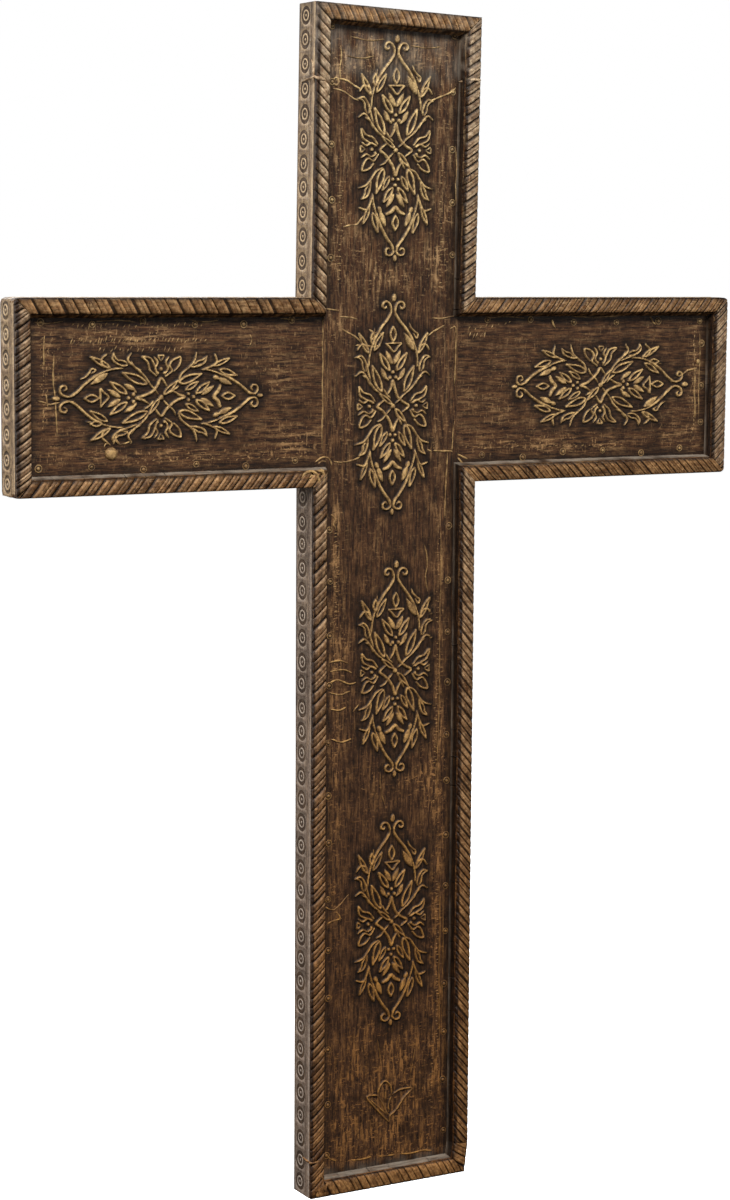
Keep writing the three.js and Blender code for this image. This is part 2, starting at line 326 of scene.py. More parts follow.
def leaf(foot, tip, belly, fat=0.8):
    """A full leaf: a raised line up its spine that swells to the belly and comes to a point."""
    spine, swell = leaf_side(foot, tip, belly, fat)
    return [(spine, np.maximum(np.linalg.norm(swell, axis=1), finest_radius))]


def ring_leaf(foot, tip, belly, fat=0.8, line=2.3):
    """A leaf left hollow: a raised line round its edge, whose middle runs just inside the belly."""
    spine, swell = leaf_side(foot, tip, belly - line / 2.6, fat)
    loop = np.vstack([spine + swell, (spine - swell)[-2::-1]])
    return [(loop, np.full(len(loop), line / 2))]


def stud(centre, radius):
    """A round stud: a raised line too short to see."""
    centre = np.array(centre, float)
    return [(np.array([centre, centre + 0.01]), np.full(2, radius))]


def mirrored(element):
    """The same raised lines on the other side of the middle line."""
    return [(path * np.array([-1, 1]), radii) for path, radii in element]


one_side = [
    # upper scroll, upper stem and the bud on it
    stem([(3, 97), (2.5, 104), (4.5, 109.5), (8.5, 112), (12.5, 110.5), (13.5, 106.5), (10.5, 104.8),
          (8.8, 107)], 2.6),
    stem([(2.6, 101), (4.5, 97), (8, 92), (15, 84), (22, 74), (26, 66)], 3.0),
    stem([(25.5, 68), (28.5, 58), (29.8, 50), (30, 42)], 1.9),
    # forks on the outside of the upper stem
    ring_leaf((31, 57), (42, 78), 3.2),
    stem([(31, 59), (34, 64.5), (38.5, 66.5), (42, 64), (44.5, 60)], 2.4),
    # palmette above the knot
    leaf((0.8, 45), (9.5, 60.5), 2.7),
    ring_leaf((4.5, 38.5), (16.5, 56.5), 3.7),
    leaf((5, 27.5), (9.2, 31.5), 1.4),
    leaf((8, 29), (15, 42), 2.5),
    stud((3.7, 31), 2.0),
    # hooked leaf and lower fork on the outside
    stem([(33, 37.5), (32.5, 43), (35.5, 50), (40, 54), (46, 52.5)], 2.2),
    stem([(34.5, 37), (37.5, 42), (38.5, 48), (42, 51.5), (46, 52.5)], 1.9),
    stem([(14, 13), (22, 18.5), (30, 28), (35.5, 35), (40, 36.8), (45.5, 33)], 2.3),
    stem([(27.5, 22), (31, 29), (37, 33.5)], 1.9),
    # the large hollow leaf inside
    ring_leaf((14, 16), (25.5, 43), 4.4),
    # tulip at the side of the knot
    stem([(22, 5.5), (28, 12.5), (36, 15), (41.5, 21), (40, 12), (33, 7.5), (24, 4)], 2.2, 0.8),
    stem([(22.5, 3.5), (30, 6.5), (36, 3.8), (41.5, 7.5)], 2.1),
    stem([(37, 0), (42.5, 3.2), (43, 0), (42.5, -3.2), (37, 0)], 1.7),
    stem([(23, -4), (30, -7.6), (36, -5.2), (42, -9)], 2.1),
    stem([(21.5, -5), (27, -12), (33, -9.5), (38, -13), (41, -22), (33, -20.5), (27, -14.5)], 2.2, 0.8),
    stud((29, 0), 1.9),
    stud((25, 4), 1.6),
    stud((25, -4), 1.6),
    # leaves inside the lozenge, below the knot
    ring_leaf((15, -20.5), (23.5, -46), 4.4, 0.68),
    ring_leaf((7.5, -28), (15.5, -42.5), 3.0, 0.8, 2.0),
    ring_leaf((3.5, -40), (14.5, -55), 3.5),
    leaf((1.6, -46), (11.5, -61.5), 2.6),
    # hooked leaves on the outside
    stem([(16, -19), (24, -23), (30, -31), (36, -37.5), (45, -40.5)], 2.3),
    stem([(30.5, -32), (31, -40), (34.5, -49), (41.5, -52.5)], 2.3),
    stem([(32, -36), (36.5, -42), (37.5, -47), (41.5, -52.5)], 1.9),
    stem([(28, -48), (31, -57), (35.5, -63.5), (44, -61.5)], 2.4),
    ring_leaf((31.5, -60), (39.5, -78), 2.7, 0.9, 2.0),
    # lower stem with a leaf on each side, and its scroll
    ring_leaf((27.5, -67), (21.5, -87), 3.5, 0.75, 2.1),
    leaf((20.5, -60), (17.5, -67), 2.3),
    leaf((18.5, -65), (11.5, -82), 2.9),
    stem([(28, -46), (27, -55), (23, -69)], 1.9),
    stem([(23, -67), (17.5, -81), (10, -93), (3.5, -101), (2, -106)], 3.0),
    stem([(2, -103), (2.2, -108), (6, -111), (10.5, -110), (11.5, -105.8), (8.5, -103.4), (6, -105.5)], 2.3),
]
left_only = [
    # the bud on the left stem is a loop
    ring_leaf((-25.5, 66), (-25.5, 79), 3.3, 0.9, 2.0),
    stem([(-24, 76), (-22.8, 84)], 1.3),
    ring_leaf((-23.5, 60), (-12.5, 79), 3.3, 0.8, 2.0),
    stem([(-32.5, 47), (-31, 39), (-27, 27)], 1.9),
]
right_only = [
    stem([(20, 89), (22, 84), (26.5, 79.5), (30, 77), (28.5, 72.5), (25, 78)], 2.0),
    leaf((25.5, 59), (13.5, 79), 3.3),
]
on_the_middle = [
    leaf((0.5, 112.5), (1.2, 121), 2.6),
    ring_leaf((0, 69.5), (0, 85), 4.3, 1.0),
    stem([(-9, 67.3), (0, 67.3), (9.5, 67.3), (6, 64), (1, 58.3), (-5, 64), (-9, 67.3)], 2.2),
    stud((0, 36.5), 1.9),
    # the strap knot
    stem([(-6, 14), (-2.5, 20), (0, 27.5), (2.5, 19), (6, 10), (12, 4.5), (19.5, 0), (12, -6)], 3.0),
    stem([(-12, 6), (-19, 0), (-13, -5), (-7.5, -11), (-3, -18), (0, -26.5), (2.5, -20), (6, -14)], 3.0),
    stem([(3, 3), (8.5, 7.5), (13, 12), (19, 15.5)], 1.9),
    stem([(-3, -3), (-8.5, -8), (-13, -13.5), (-19, -16.5)], 1.9),
    ring_leaf((-1.5, 2), (-16.5, 13.5), 2.7, 0.8, 2.0),
    stem([(-3, 8.5), (-7.5, 12.5), (-11.5, 19)], 2.0),
    ring_leaf((3, -3), (16.5, -18), 3.0, 0.75, 2.2),
    stem([(4, -9), (8, -14.5), (11.5, -20)], 1.9),
    stud((0, 0), 2.5),
    stud((-3.2, -31), 1.8),
    stud((3.2, -31), 1.8),
    stud((0, -37), 1.9),
    stem([(-10.5, -67.5), (-5, -65), (0, -60.5), (5, -65), (10.5, -67.5)], 4.0, 0.8),
    ring_leaf((0, -84.5), (0, -69.5), 4.2, 1.1),
    leaf((0, -110.5), (0, -118), 2.0),
]


# a line's bank starts a little outside its edge and rises over its own width to most of the line's height;
# its rounded top gives the rest. Lines thinner than the full radius stand lower
line_weight = 1.12
bank_start, bank_width = 0.25, 1.15
bank_share, top_share = 0.72, 0.28
full_radius = 1.0
line_margin = 8.0


def draw(elements):
    """The template: for every place, how high the nearest raised line stands there, from 0 to 1, and
    how far away its edge is. A line's section rises over its own edge and is rounded on top."""
    height = np.zeros((len(template_v), len(template_u)))
    gap = np.full(height.shape, far_off)
    lines = [line for element in elements for line in element]
    for path, radii in lines:
        for (start, end), (first, last) in zip(zip(path, path[1:]), zip(radii, radii[1:])):
            margin = max(first, last) + line_margin
            spread = np.array([-margin, margin])
            column_from, column_to = np.searchsorted(template_u, sorted((start[0], end[0])) + spread)
            row_from, row_to = np.searchsorted(template_v, sorted((start[1], end[1])) + spread)
            u, v = template_u[None, column_from:column_to], template_v[row_from:row_to, None]
            run = end - start
            share = np.clip(((u - start[0]) * run[0] + (v - start[1]) * run[1]) / (run @ run + 1e-9), 0, 1)
            distance = np.hypot(u - start[0] - share * run[0], v - start[1] - share * run[1])
            radius = line_weight * (first + share * (last - first))
            rise = np.clip((radius + bank_start - distance) / bank_width, 0, 1)
            dome = np.clip(1 - (distance / radius) ** 2, 0, 1)
            here = bank_share * rise * rise * (3 - 2 * rise) + top_share * dome
            window = (slice(row_from, row_to), slice(column_from, column_to))
            height[window] = np.maximum(height[window], here * np.minimum(1, radius / full_radius))
            gap[window] = np.minimum(gap[window], distance - radius)
    return height, gap


arabesque = draw([*one_side, *map(mirrored, one_side), *left_only, *right_only, *on_the_middle])


def sample(picture, u, v, outside):
    """The template's value at places between its points, by the mean of the four around weighted by
    nearness."""
    column = (u + template_half_u) / template_step
    row = (v + template_half_v) / template_step
    inside = (column >= 0) & (row >= 0) & (column < len(template_u) - 1) & (row < len(template_v) - 1)
    column, row = np.where(inside, column, 0), np.where(inside, row, 0)
    left, low = column.astype(int), row.astype(int)
    over, up = column - left, row - low
    value = ((picture[low, left] * (1 - over) + picture[low, left + 1] * over) * (1 - up)
             + (picture[low + 1, left] * (1 - over) + picture[low + 1, left + 1] * over) * up)
    return np.where(inside, value, outside)


# The tulip at the foot
# A single small tulip is cut near the bottom of the panel, in the same wood and the same low relief as the
# medallions, but in thinner lines and on a lighter ground.
tulip = draw([
    stem([(1, -24), (-11, -12), (-20, -2), (-28.6, 9.6), (-18, 10), (-13, 7)], 1.75),
    stem([(-13, 6), (-14, 15), (-9, 23), (-4, 23.5), (2, 17), (3, 7)], 1.75),
    stem([(3, 7), (13, 12), (28.5, 11.6), (18, 2), (8, -11), (1, -16), (1, -24)], 1.75),
    stem([(-13, 7), (-7, -4), (-1, -15)], 1.5),
    stem([(3, 7), (-1, -2), (0, -13)], 1.5),
    stem([(-5, 13), (-4.5, 2)], 1.4),
    stem([(-26, 8), (-15, -3), (-3, -14)], 1.4),
])
# its lines count as this much farther off when the ground beside them is darkened
tulip_ground_clear = 5


# The sunk panel
# The upright's panel is one long sunk face between the mouldings, 8 mm below their foot, and each arm has
# its own. They are carved in place: medallions stand 2 mm proud and the ground beside them is darkened, with
# wax and with painted shade.
relief_height = 2.3
hand_slip = 0.5
# each medallion: its template, the x and z of its middle, and which way it is turned by a quarter
medallions = {
    "top": (arabesque, 3.0, 255.7, 0),
    "crossing": (arabesque, 1.8, -16.4, 0),
    "middle": (arabesque, 7.3, -304.2, 0),
    "lower": (arabesque, 4.9, -583.7, 0),
    "left": (arabesque, -272.2, -2.0, 1),
    "right": (arabesque, 270.1, 2.1, -1),
    "foot": (tulip, 4.0, -788.0, 0),
}
# where hands and cleaning have rubbed the stain back: middle in x and z, half width, half height, how far
rubbed_places = [
    (-68, 170, 9, 80, 0.55), (66, 205, 11, 90, 0.5), (60, 150, 14, 40, 0.4), (-10, 345, 75, 26, 0.75),
    (0, 125, 50, 25, 0.45), (-66, -190, 8, 85, 0.6), (-64, -305, 11, 55, 0.5), (-66, -430, 8, 70, 0.35),
    (64, -330, 6, 160, 0.5), (62, -570, 9, 130, 0.5), (20, -428, 45, 20, 0.45), (58, -440, 14, 40, 0.4),
    (-66, -560, 10, 60, 0.35), (0, -800, 85, 45, 0.9), (-60, -835, 18, 14, 0.6), (45, -846, 40, 8, 0.7),
    (5, -735, 70, 40, 0.5), (-50, -10, 18, 60, 0.25), (62, -30, 12, 60, 0.2), (-398, 20, 5, 40, 0.6),
    (-388, 0, 5, 50, 0.5), (-330, 60, 65, 8, 0.5), (-250, -62, 150, 7, 0.55), (-150, 30, 50, 30, 0.2),
    (-105, -45, 25, 20, 0.35), (398, 0, 7, 60, 0.6), (200, -62, 110, 8, 0.6), (365, -52, 30, 18, 0.4),
    (150, -10, 60, 35, 0.2),
]
panel_shades = ("#1b0f08", "#452b1a", "#6d4b2e")
panel_rubbed = ("#9b6a3a", "#a9885f")
panel_gilt = ("#c48c45", "#eecb8c")
upright_finish = stained_wood("stained_wood_upright", "Z", panel_shades, panel_rubbed, panel_gilt)
arm_finish = stained_wood("stained_wood_arm", "X", panel_shades, panel_rubbed, panel_gilt)

border_step = 0.03
# the panel starts under the moulding's foot, at its tuck inside the outline, and shows from its inset
panel_tuck, panel_inset = 19.4, 20.2
panel_back = panel_face - 1.4
seam_x = 83.0
# the arms' ends have lost their sharp outer corners: where each is, and how round it has worn
worn_corners = [(-1, 1, 5.5), (1, 1, 6.0), (1, -1, 6.5), (-1, -1, 2.5)]
# past the crossing the panel's grid turns to the upright's own edges, and higher up to the head's slope
lean_run = 20
slope_from, slope_run = 300, 60
# dust and dark wax cap the head above its lap, and dust lies in the bottom of the panel
cap_from, cap_run = 322, 14
foot_dust_height = 32


wave_count = 6


def wander(x, z, size, seed):
    """A smooth unevenness from -1 to 1: the mean of six sine waves about one size long, whose
    directions and phases are drawn from the seed."""
    lots = np.random.default_rng(seed)
    turns = lots.uniform(0, math.tau, wave_count)
    shifts = lots.uniform(0, math.tau, wave_count)
    stretches = lots.uniform(0.6, 1.7, wave_count)
    total = np.zeros(np.broadcast(x, z).shape)
    for turn, shift, stretch in zip(turns, shifts, stretches):
        total += np.sin((x * math.cos(turn) + z * math.sin(turn)) * math.tau / (size * stretch) + shift)
    return total / wave_count


def edge_x(side, z):
    """Where the upright's left (-1) or right (1) edge stands at a height: straight, then leaning with
    the head, and cut back at the foot's right corner."""
    heights = [foot_z, foot_z + foot_taper_height, -half, half, head_z]
    places = [side * half - (foot_taper if side > 0 else 0), side * half, side * half,
              side * half - head_lean, side * half + head_lean]
    return np.interp(z, heights, places)


def stepped(*stops):
    """Grid lines from stop to stop, each stretch cut evenly into steps of about its own size. The stops
    are places with the step that leads to the next place between them."""
    places, steps = stops[0::2], stops[1::2]
    lines = [np.linspace(a, b, max(1, round(abs(b - a) / step)), endpoint=False)
             for a, b, step in zip(places, places[1:], steps)]
    return np.concatenate([*lines, [places[-1]]])


def grid_faces(rows, columns, first=0):
    """The four-cornered faces of a grid of rows by columns, turned to face the side from which the
    columns run to the right and the rows run up."""
    corner = first + np.arange(rows - 1)[:, None] * columns + np.arange(columns - 1)[None, :]
    faces = np.stack([corner, corner + 1, corner + 1 + columns, corner + columns], axis=-1)
    return faces.reshape(-1, 4).tolist()


def closed_skin(points, finish, back_y):
    """A closed skin: the front grid, a skirt that runs straight back from its border to a plane behind
    it, and a back that fans from its middle to the skirt."""
    rows, columns = points.shape[:2]
    index = np.arange(rows * columns).reshape(rows, columns)
    border = np.concatenate([index[0, :-1], index[:-1, -1], index[-1, :0:-1], index[:0:-1, 0]])
    count = len(border)
    flat = points.reshape(-1, 3)
    back = flat[border]
    back[:, 1] = back_y
    below = rows * columns + np.arange(count)
    after = np.roll(np.arange(count), -1)
    skirt = np.stack([border, below, below[after], border[after]], axis=-1).tolist()
    centre = rows * columns + count
    fan = np.stack([below[after], below, np.full(count, centre)], axis=-1).tolist()
    every = finish.reshape(-1, finish.shape[-1])
    return (np.vstack([flat, back, back.mean(axis=0, keepdims=True)]),
            grid_faces(rows, columns) + skirt + fan, np.vstack([every, every[border], every[:1]]))


def depth_inside(x, z):
    """How far inside the outline a place is: the distance to the nearest edge of the upright or of the
    arms, whichever is more."""
    top = head_z - head_slope * x / half
    in_upright = np.minimum(np.minimum(x - edge_x(-1, z), edge_x(1, z) - x),
                            np.minimum(top - z, z - foot_z))
    in_arms = np.minimum(half - np.abs(z), reach - np.abs(x))
    return np.maximum(in_upright, in_arms)


def wear_corners(points):
    """Points with the arm ends' outer corners rounded. Inside the square at a corner, the two distances
    from its inner sides, u and v of its size, become u sqrt(1 - v v / 2) and v sqrt(1 - u u / 2), which
    turns the square's outer corner into a quarter of a circle."""
    points = points.copy()
    for side_x, side_z, radius in worn_corners:
        u = (side_x * points[:, 0] - (reach - radius)) / radius
        v = (side_z * points[:, 2] - (half - radius)) / radius
        near = (u > 0) & (v > 0)
        u, v = np.minimum(u[near], 1), np.minimum(v[near], 1)
        points[near, 0] = side_x * (reach - radius + radius * u * np.sqrt(1 - v * v / 2))
        points[near, 2] = side_z * (half - radius + radius * v * np.sqrt(1 - u * u / 2))
    return points


def add_piece(name, points, faces, finish, material, node, smooth_faces=None):
    """One piece from points in millimetres and faces as lists of corners, with its finish attribute,
    riding on the cross and standing for a CAD node. Only its first smooth_faces are shaded smooth."""
    mesh = bpy.data.meshes.new(name)
    mesh.from_pydata((wear_corners(np.asarray(points, float)) / 1000).tolist(), [], faces)
    # what a piece's finish doesn't say stays at a half
    values = np.full((len(points), 4), 0.5, np.float32)
    values[:, :finish.shape[1]] = np.clip(finish, 0, 1)
    mesh.attributes.new("finish", "FLOAT_COLOR", "POINT").data.foreach_set("color", values.ravel())
    smooth_faces = len(faces) if smooth_faces is None else smooth_faces
    mesh.polygons.foreach_set("use_smooth", np.arange(len(mesh.polygons)) < smooth_faces)
    mesh.materials.append(material)
    piece = bpy.data.objects.new(name, mesh)
    bpy.context.scene.collection.objects.link(piece)
    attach(piece, "root")
    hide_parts(node)
    return piece


def medallion_relief(x, z):
    """How high the carving stands at each place, from 0 to 1, and how far away the nearest line's edge
    is. Each medallion is its template warped by half a millimetre, as a hand slips."""
    relief, gap = np.zeros(x.shape), np.full(x.shape, far_off)
    for key, ((raised, away), middle_x, middle_z, turn) in medallions.items():
        u, v = x - middle_x, z - middle_z
        if turn:
            u, v = turn * v, -turn * u
        u = u + hand_slip * wander(x, z, 60, len(key) + 11)
        v = v + hand_slip * wander(x, z, 70, len(key) + 12)
        relief = np.maximum(relief, sample(raised, u, v, 0))
        gap = np.minimum(gap, sample(away, u, v, far_off) + (tulip_ground_clear if key == "foot" else 0))
    return relief, gap


def panel_marks(x, z, relief, gap):
    """The panel's finish: the lines' tops gilt, more in some places than in others; wax and painted shade in
    the ground beside them and along the moulding; dust on the head's cap and at the foot; and rubbed places."""
    top = np.clip((relief - 0.3) / 0.35, 0, 1) * np.clip(0.85 + 0.45 * wander(x, z, 13, 4), 0, 1)
    # the ground beside the lines and the panel's edge under the moulding are darkened as wax and as painted
    # shade
    ground = np.clip(1 - (gap - 1.5) / 8.0, 0, 1) * (1 - relief)
    near_edge = 1.25 - (depth_inside(x, z) - panel_inset) / (8.5 + 5 * wander(x, z, 35, 3))
    wax_and_shade = np.maximum(0.95 * ground, 0.85 * np.clip(near_edge, 0, 1))
    at_cap = np.clip((z - cap_from) / cap_run, 0, 1)
    at_foot = np.clip((foot_z + foot_dust_height - z) / cap_run, 0, 1)
    dusty = (0.3 * at_cap + 0.3 * at_foot) * np.clip(0.5 + wander(x, z, 22, 16), 0, 1)
    worn = 0.2 + 0.2 * wander(x, z, 50, 15)
    for middle_x, middle_z, wide, tall, amount in rubbed_places:
        worn = worn + amount * np.exp(-((x - middle_x) / wide) ** 2 - ((z - middle_z) / tall) ** 2)
    return np.stack([top, wax_and_shade, dusty, worn], axis=-1)


def panel_piece(name, x_lines, z_lines, node, material):
    """A stretch of sunk panel: a grid in X and Z whose height is the panel's face, a slow unevenness,
    and the medallions' relief."""
    # a line close inside each border keeps the border's turn out of the face's shading
    x_lines, z_lines = (np.sort(np.append(lines, (lines[0] + border_step, lines[-1] - border_step)))
                        for lines in (x_lines, z_lines))
    z, x = np.meshgrid(z_lines, x_lines, indexing="ij")
    leaning = np.clip((np.abs(z) - half) / lean_run, 0, 1) if node == "upright" else 0
    left, right = edge_x(-1, z), edge_x(1, z)
    x = x + leaning * (left + (x + half) / (2 * half) * (right - left) - x)
    z = z - np.clip((z - slope_from) / slope_run, 0, 1) * head_slope * x / half
    uneven = 0.25 * wander(x, z, 90, 1) + 0.16 * wander(x, z, 21, 2) + 0.1 * wander(x, z, 11, 8)
    relief, gap = medallion_relief(x, z)
    height = panel_face + uneven + relief_height * relief
    marks = panel_marks(x, z, relief, gap)
    points, faces, marks = closed_skin(np.stack([x, -height, z], axis=-1), marks, -panel_back)
    add_piece(name, points, faces, marks, material, node, (x.shape[0] - 1) * (x.shape[1] - 1))


# the grid is fine under the medallions and coarse between them
fine, coarse = 0.75, 2.6
relief_half = 46.5
across = stepped(-seam_x, coarse, -relief_half + 3, fine, relief_half + 3, coarse, seam_x)
bands = {
    "head_panel": stepped(108, coarse, 130, fine, 379, coarse, head_z - panel_tuck),
    "crossing_panel": stepped(-146, coarse, -138, fine, 107, 1.0, 108),
    "middle_panel": stepped(-446, coarse, -424, fine, -181, coarse, -146),
    "lower_panel": stepped(-722, coarse, -705, fine, -460, coarse, -446),
    "foot_panel": stepped(foot_z + panel_tuck, coarse, -815, fine, -761, coarse, -722),
}
for name, z_lines in bands.items():
    panel_piece(name, across, z_lines, "upright", upright_finish)

arm_lines = stepped(-half + panel_tuck, coarse, -relief_half, fine, relief_half, coarse, half - panel_tuck)
left_lines = stepped(-reach + panel_tuck, coarse, -396, fine, -150, coarse, -seam_x)
right_lines = stepped(seam_x, coarse, 148, fine, 394, coarse, reach - panel_tuck)
panel_piece("left_arm_panel", left_lines, arm_lines, "left_arm", arm_finish)
panel_piece("right_arm_panel", right_lines, arm_lines, "right_arm", arm_finish)


# The rope moulding
# Round every edge runs a moulding carved like a rope, cut with a gouge so that slanting strands lie side by
# side. Inside it the wood falls away in a slope to the panel. Lengths meet in mitres at the corners.
rope_outer, rope_inner = 0.2, 17.6
# the crown leaves room for the strands that stand proudest
strand_play = 0.65
rope_height = crown - board_front - strand_play
groove_depth = 2.4
strand_swell = 0.3
flank_fade = 0.06
slope_foot = 20.8
under_y = 26.5
mitre_overlap = 0.05
# how far across a strand each of its rows lies: the first ones in half a groove, the middle ones in its own
# share of the strand. Then how deep the groove and the finer cut are there, and how bright the wood is:
# rubbed, and painted brightest just past the groove as a highlight on the strand's lit side
groove_rows = np.array([0.0, 0.4, 1.0])
middle_rows = np.array([0.4, 0.47, 0.54])
groove_at = np.array([1.0, 0.8, 0.0, 0.0, 0.0, 0.0, 0.0, 0.8])
fine_cut_at = np.array([0.0, 0.0, 0.0, 0.0, 0.4, 0.0, 0.0, 0.0])
rubbed_and_highlight_at = np.array([0.0, 0.15, 1.35, 0.7, 0.3, 0.65, 0.45, 0.1])
# the bead's section: how high it stands, in shares of the crown, at shares of its width from the outer edge
bead_columns = np.array([0.0, 0.0, 0.05, 0.16, 0.36, 0.58, 0.76, 0.88, 0.96, 1.0])
bead_heights = np.array([0.0, 0.72, 0.9, 0.97, 1.0, 1.0, 0.95, 0.82, 0.52, 0.0])
# the slope's section: how high above the back it is at distances inside the outline
slope_columns = np.array([18.0, 18.7, 19.4, 20.1, slope_foot])
slope_heights = np.array([35.6, 33.8, 31.5, 29.3, 27.6])
# the whole section, as how far inside the outline and how high above the back its points lie: the outer
# side, the bead, the slope, and the hidden underside
offset = np.concatenate([[0.0, 0.0], rope_outer + (rope_inner - rope_outer) * bead_columns,
                         slope_columns, [slope_foot, 0.6]])
section_height = np.concatenate([[under_y, board_front - 0.7], board_front + 0.2 + 0 * bead_columns,
                                 slope_heights, [under_y, under_y]])
bead = np.concatenate([[0.0, 0.0], bead_heights, 0 * slope_columns, [0.0, 0.0]])
on_slope = np.isin(offset, slope_columns) & (section_height > under_y)
bead_share = np.clip((offset - rope_outer) / (rope_inner - rope_outer), 0, 1)
# dust and painted sheen thicken down the slopes that face up, and dust lies only at the foot of those that
# face left
dust_and_sheen_down_slope = np.interp(offset, [18.0, 18.7, 20.1, 20.8], [0.3, 0.55, 1.0, 0.9])
dust_at_foot = np.interp(offset, [19.4, 20.1, 20.8], [0.0, 0.6, 1.0])

# the same stained wood, rubbed harder: what it gives the eye is gold-brown strand tops over grooves black
# with wax and painted shade, paler towards the head on the upright than on the arms, partly as painted light
rope_shades = ("#1a0d05", "#442813", "#714722")
rope_rubbed = ("#956334", "#a58962")
upright_rope_gilt = ("#c08d58", "#eccfa8")
arm_rope_gilt = ("#bf8b54", "#d8a873")
upright_rope_finish = stained_wood("carved_rope_upright", "Z", rope_shades, rope_rubbed, upright_rope_gilt)
arm_rope_finish = stained_wood("carved_rope_arm", "X", rope_shades, rope_rubbed, arm_rope_gilt)

# each length: its edge, its node, the hand of its strands, their spacing where it starts and ends, how far
# one runs along while crossing, the share of its outer flank left dark, the share of its inner flank darkened
# as painted shade, how much it is rubbed, and the share of a strand that its groove takes
rope_lengths = {
    "foot_moulding": (0, "upright", -1, 10.5, 7.6, 9.5, 0.05, 0.06, 2.4, 0.2),
    "foot_corner_moulding": (1, "upright", -1, 9.0, 9.0, 8.0, 0.05, 0.1, 1.8, 0.24),
    "lower_right_moulding": (2, "upright", -1, 9.0, 11.2, 20.0, -0.1, 0.14, 1.9, 0.42),
    "right_arm_low_moulding": (3, "right_arm", -1, 9.3, 8.6, 17.0, -0.1, 0.1, 1.1, 0.3),
    "right_arm_end_moulding": (4, "right_arm", 1, 6.4, 7.4, 17.0, -0.1, 0.16, 1.3, 0.36),
    "right_arm_top_moulding": (5, "right_arm", 1, 8.6, 9.8, 14.0, 0.12, 0.06, 1.0, 0.26),
    "head_right_moulding": (6, "upright", 1, 8.0, 10.8, 11.5, -0.1, 0.16, 1.6, 0.38),
    "head_top_moulding": (7, "upright", -1, 7.6, 8.2, 10.0, 0.12, 0.06, 1.2, 0.26),
    "head_left_moulding": (8, "upright", -1, 10.6, 12.4, 15.5, 0.17, 0.05, 1.3, 0.26),
    "left_arm_top_moulding": (9, "left_arm", -1, 11.8, 14.2, 10.0, 0.12, 0.06, 0.9, 0.22),
    "left_arm_end_moulding": (10, "left_arm", 1, 8.4, 8.4, 12.0, 0.17, 0.05, 0.8, 0.28),
    "left_arm_low_moulding": (11, "left_arm", 1, 11.3, 10.8, 14.0, -0.1, 0.1, 1.0, 0.28),
    "lower_left_moulding": (12, "upright", 1, 12.6, 8.6, 15.5, 0.05, 0.06, 0.62, 0.22),
}


def inset(corners, distance):
    """The outline moved inwards by a distance: each corner slides along the bisector of its two edges
    until both edges have moved that far."""
    arriving = corners - np.roll(corners, 1, axis=0)
    arriving /= np.linalg.norm(arriving, axis=1)[:, None]
    leaving = np.roll(arriving, -1, axis=0)
    inward = np.column_stack([-arriving[:, 1] - leaving[:, 1], arriving[:, 0] + leaving[:, 0]])
    return corners + inward * (distance / (1 + (arriving * leaving).sum(axis=1)))[:, None]


def edge_run(edge):
    """One edge of the outline: where it starts and ends, its length and its direction."""
    start, end = outline[edge], outline[(edge + 1) % len(outline)]
    length = np.linalg.norm(end - start)
    return start, end, length, (end - start) / length


def clean_mesh(piece, within_mm=0.01):
    """Points pressed onto each other become one, and faces without area go."""
    work = bmesh.new()
    work.from_mesh(piece.data)
    bmesh.ops.remove_doubles(work, verts=work.verts, dist=within_mm / 1000)
    work.to_mesh(piece.data)
    work.free()


def strand_rows(lots, length, first_spacing, last_spacing, groove_share):
    """The rows of a length's strands, as columns of numbers: how far along each lies, how far across its
    own strand, how deep it is cut, how bright it is rubbed and painted with a highlight, and how proud its
    strand stands."""
    half_groove = groove_share / 2 * groove_rows
    across_strand = np.concatenate([half_groove, middle_rows, 1 - half_groove[:0:-1]])
    spare = 3
    strands = int(2 * length / (first_spacing + last_spacing)) + 2 * spare
    spacings = np.linspace(first_spacing, last_spacing, strands) * lots.uniform(0.88, 1.12, strands)
    starts = np.cumsum(spacings) - spare * first_spacing
    run = starts[:, None] + spacings[:, None] * across_strand[None, :]
    cut = (np.outer(lots.uniform(0.7, 1.0, strands), groove_at)
           + np.outer(lots.uniform(0, 1, strands), fine_cut_at))
    proud = np.repeat(lots.uniform(-0.35, 0.25, strands), len(across_strand))
    across_strand, rubbed = np.tile(across_strand, strands), np.tile(rubbed_and_highlight_at, strands)
    return [values.reshape(-1, 1) for values in (run, across_strand, cut, rubbed, proud)]


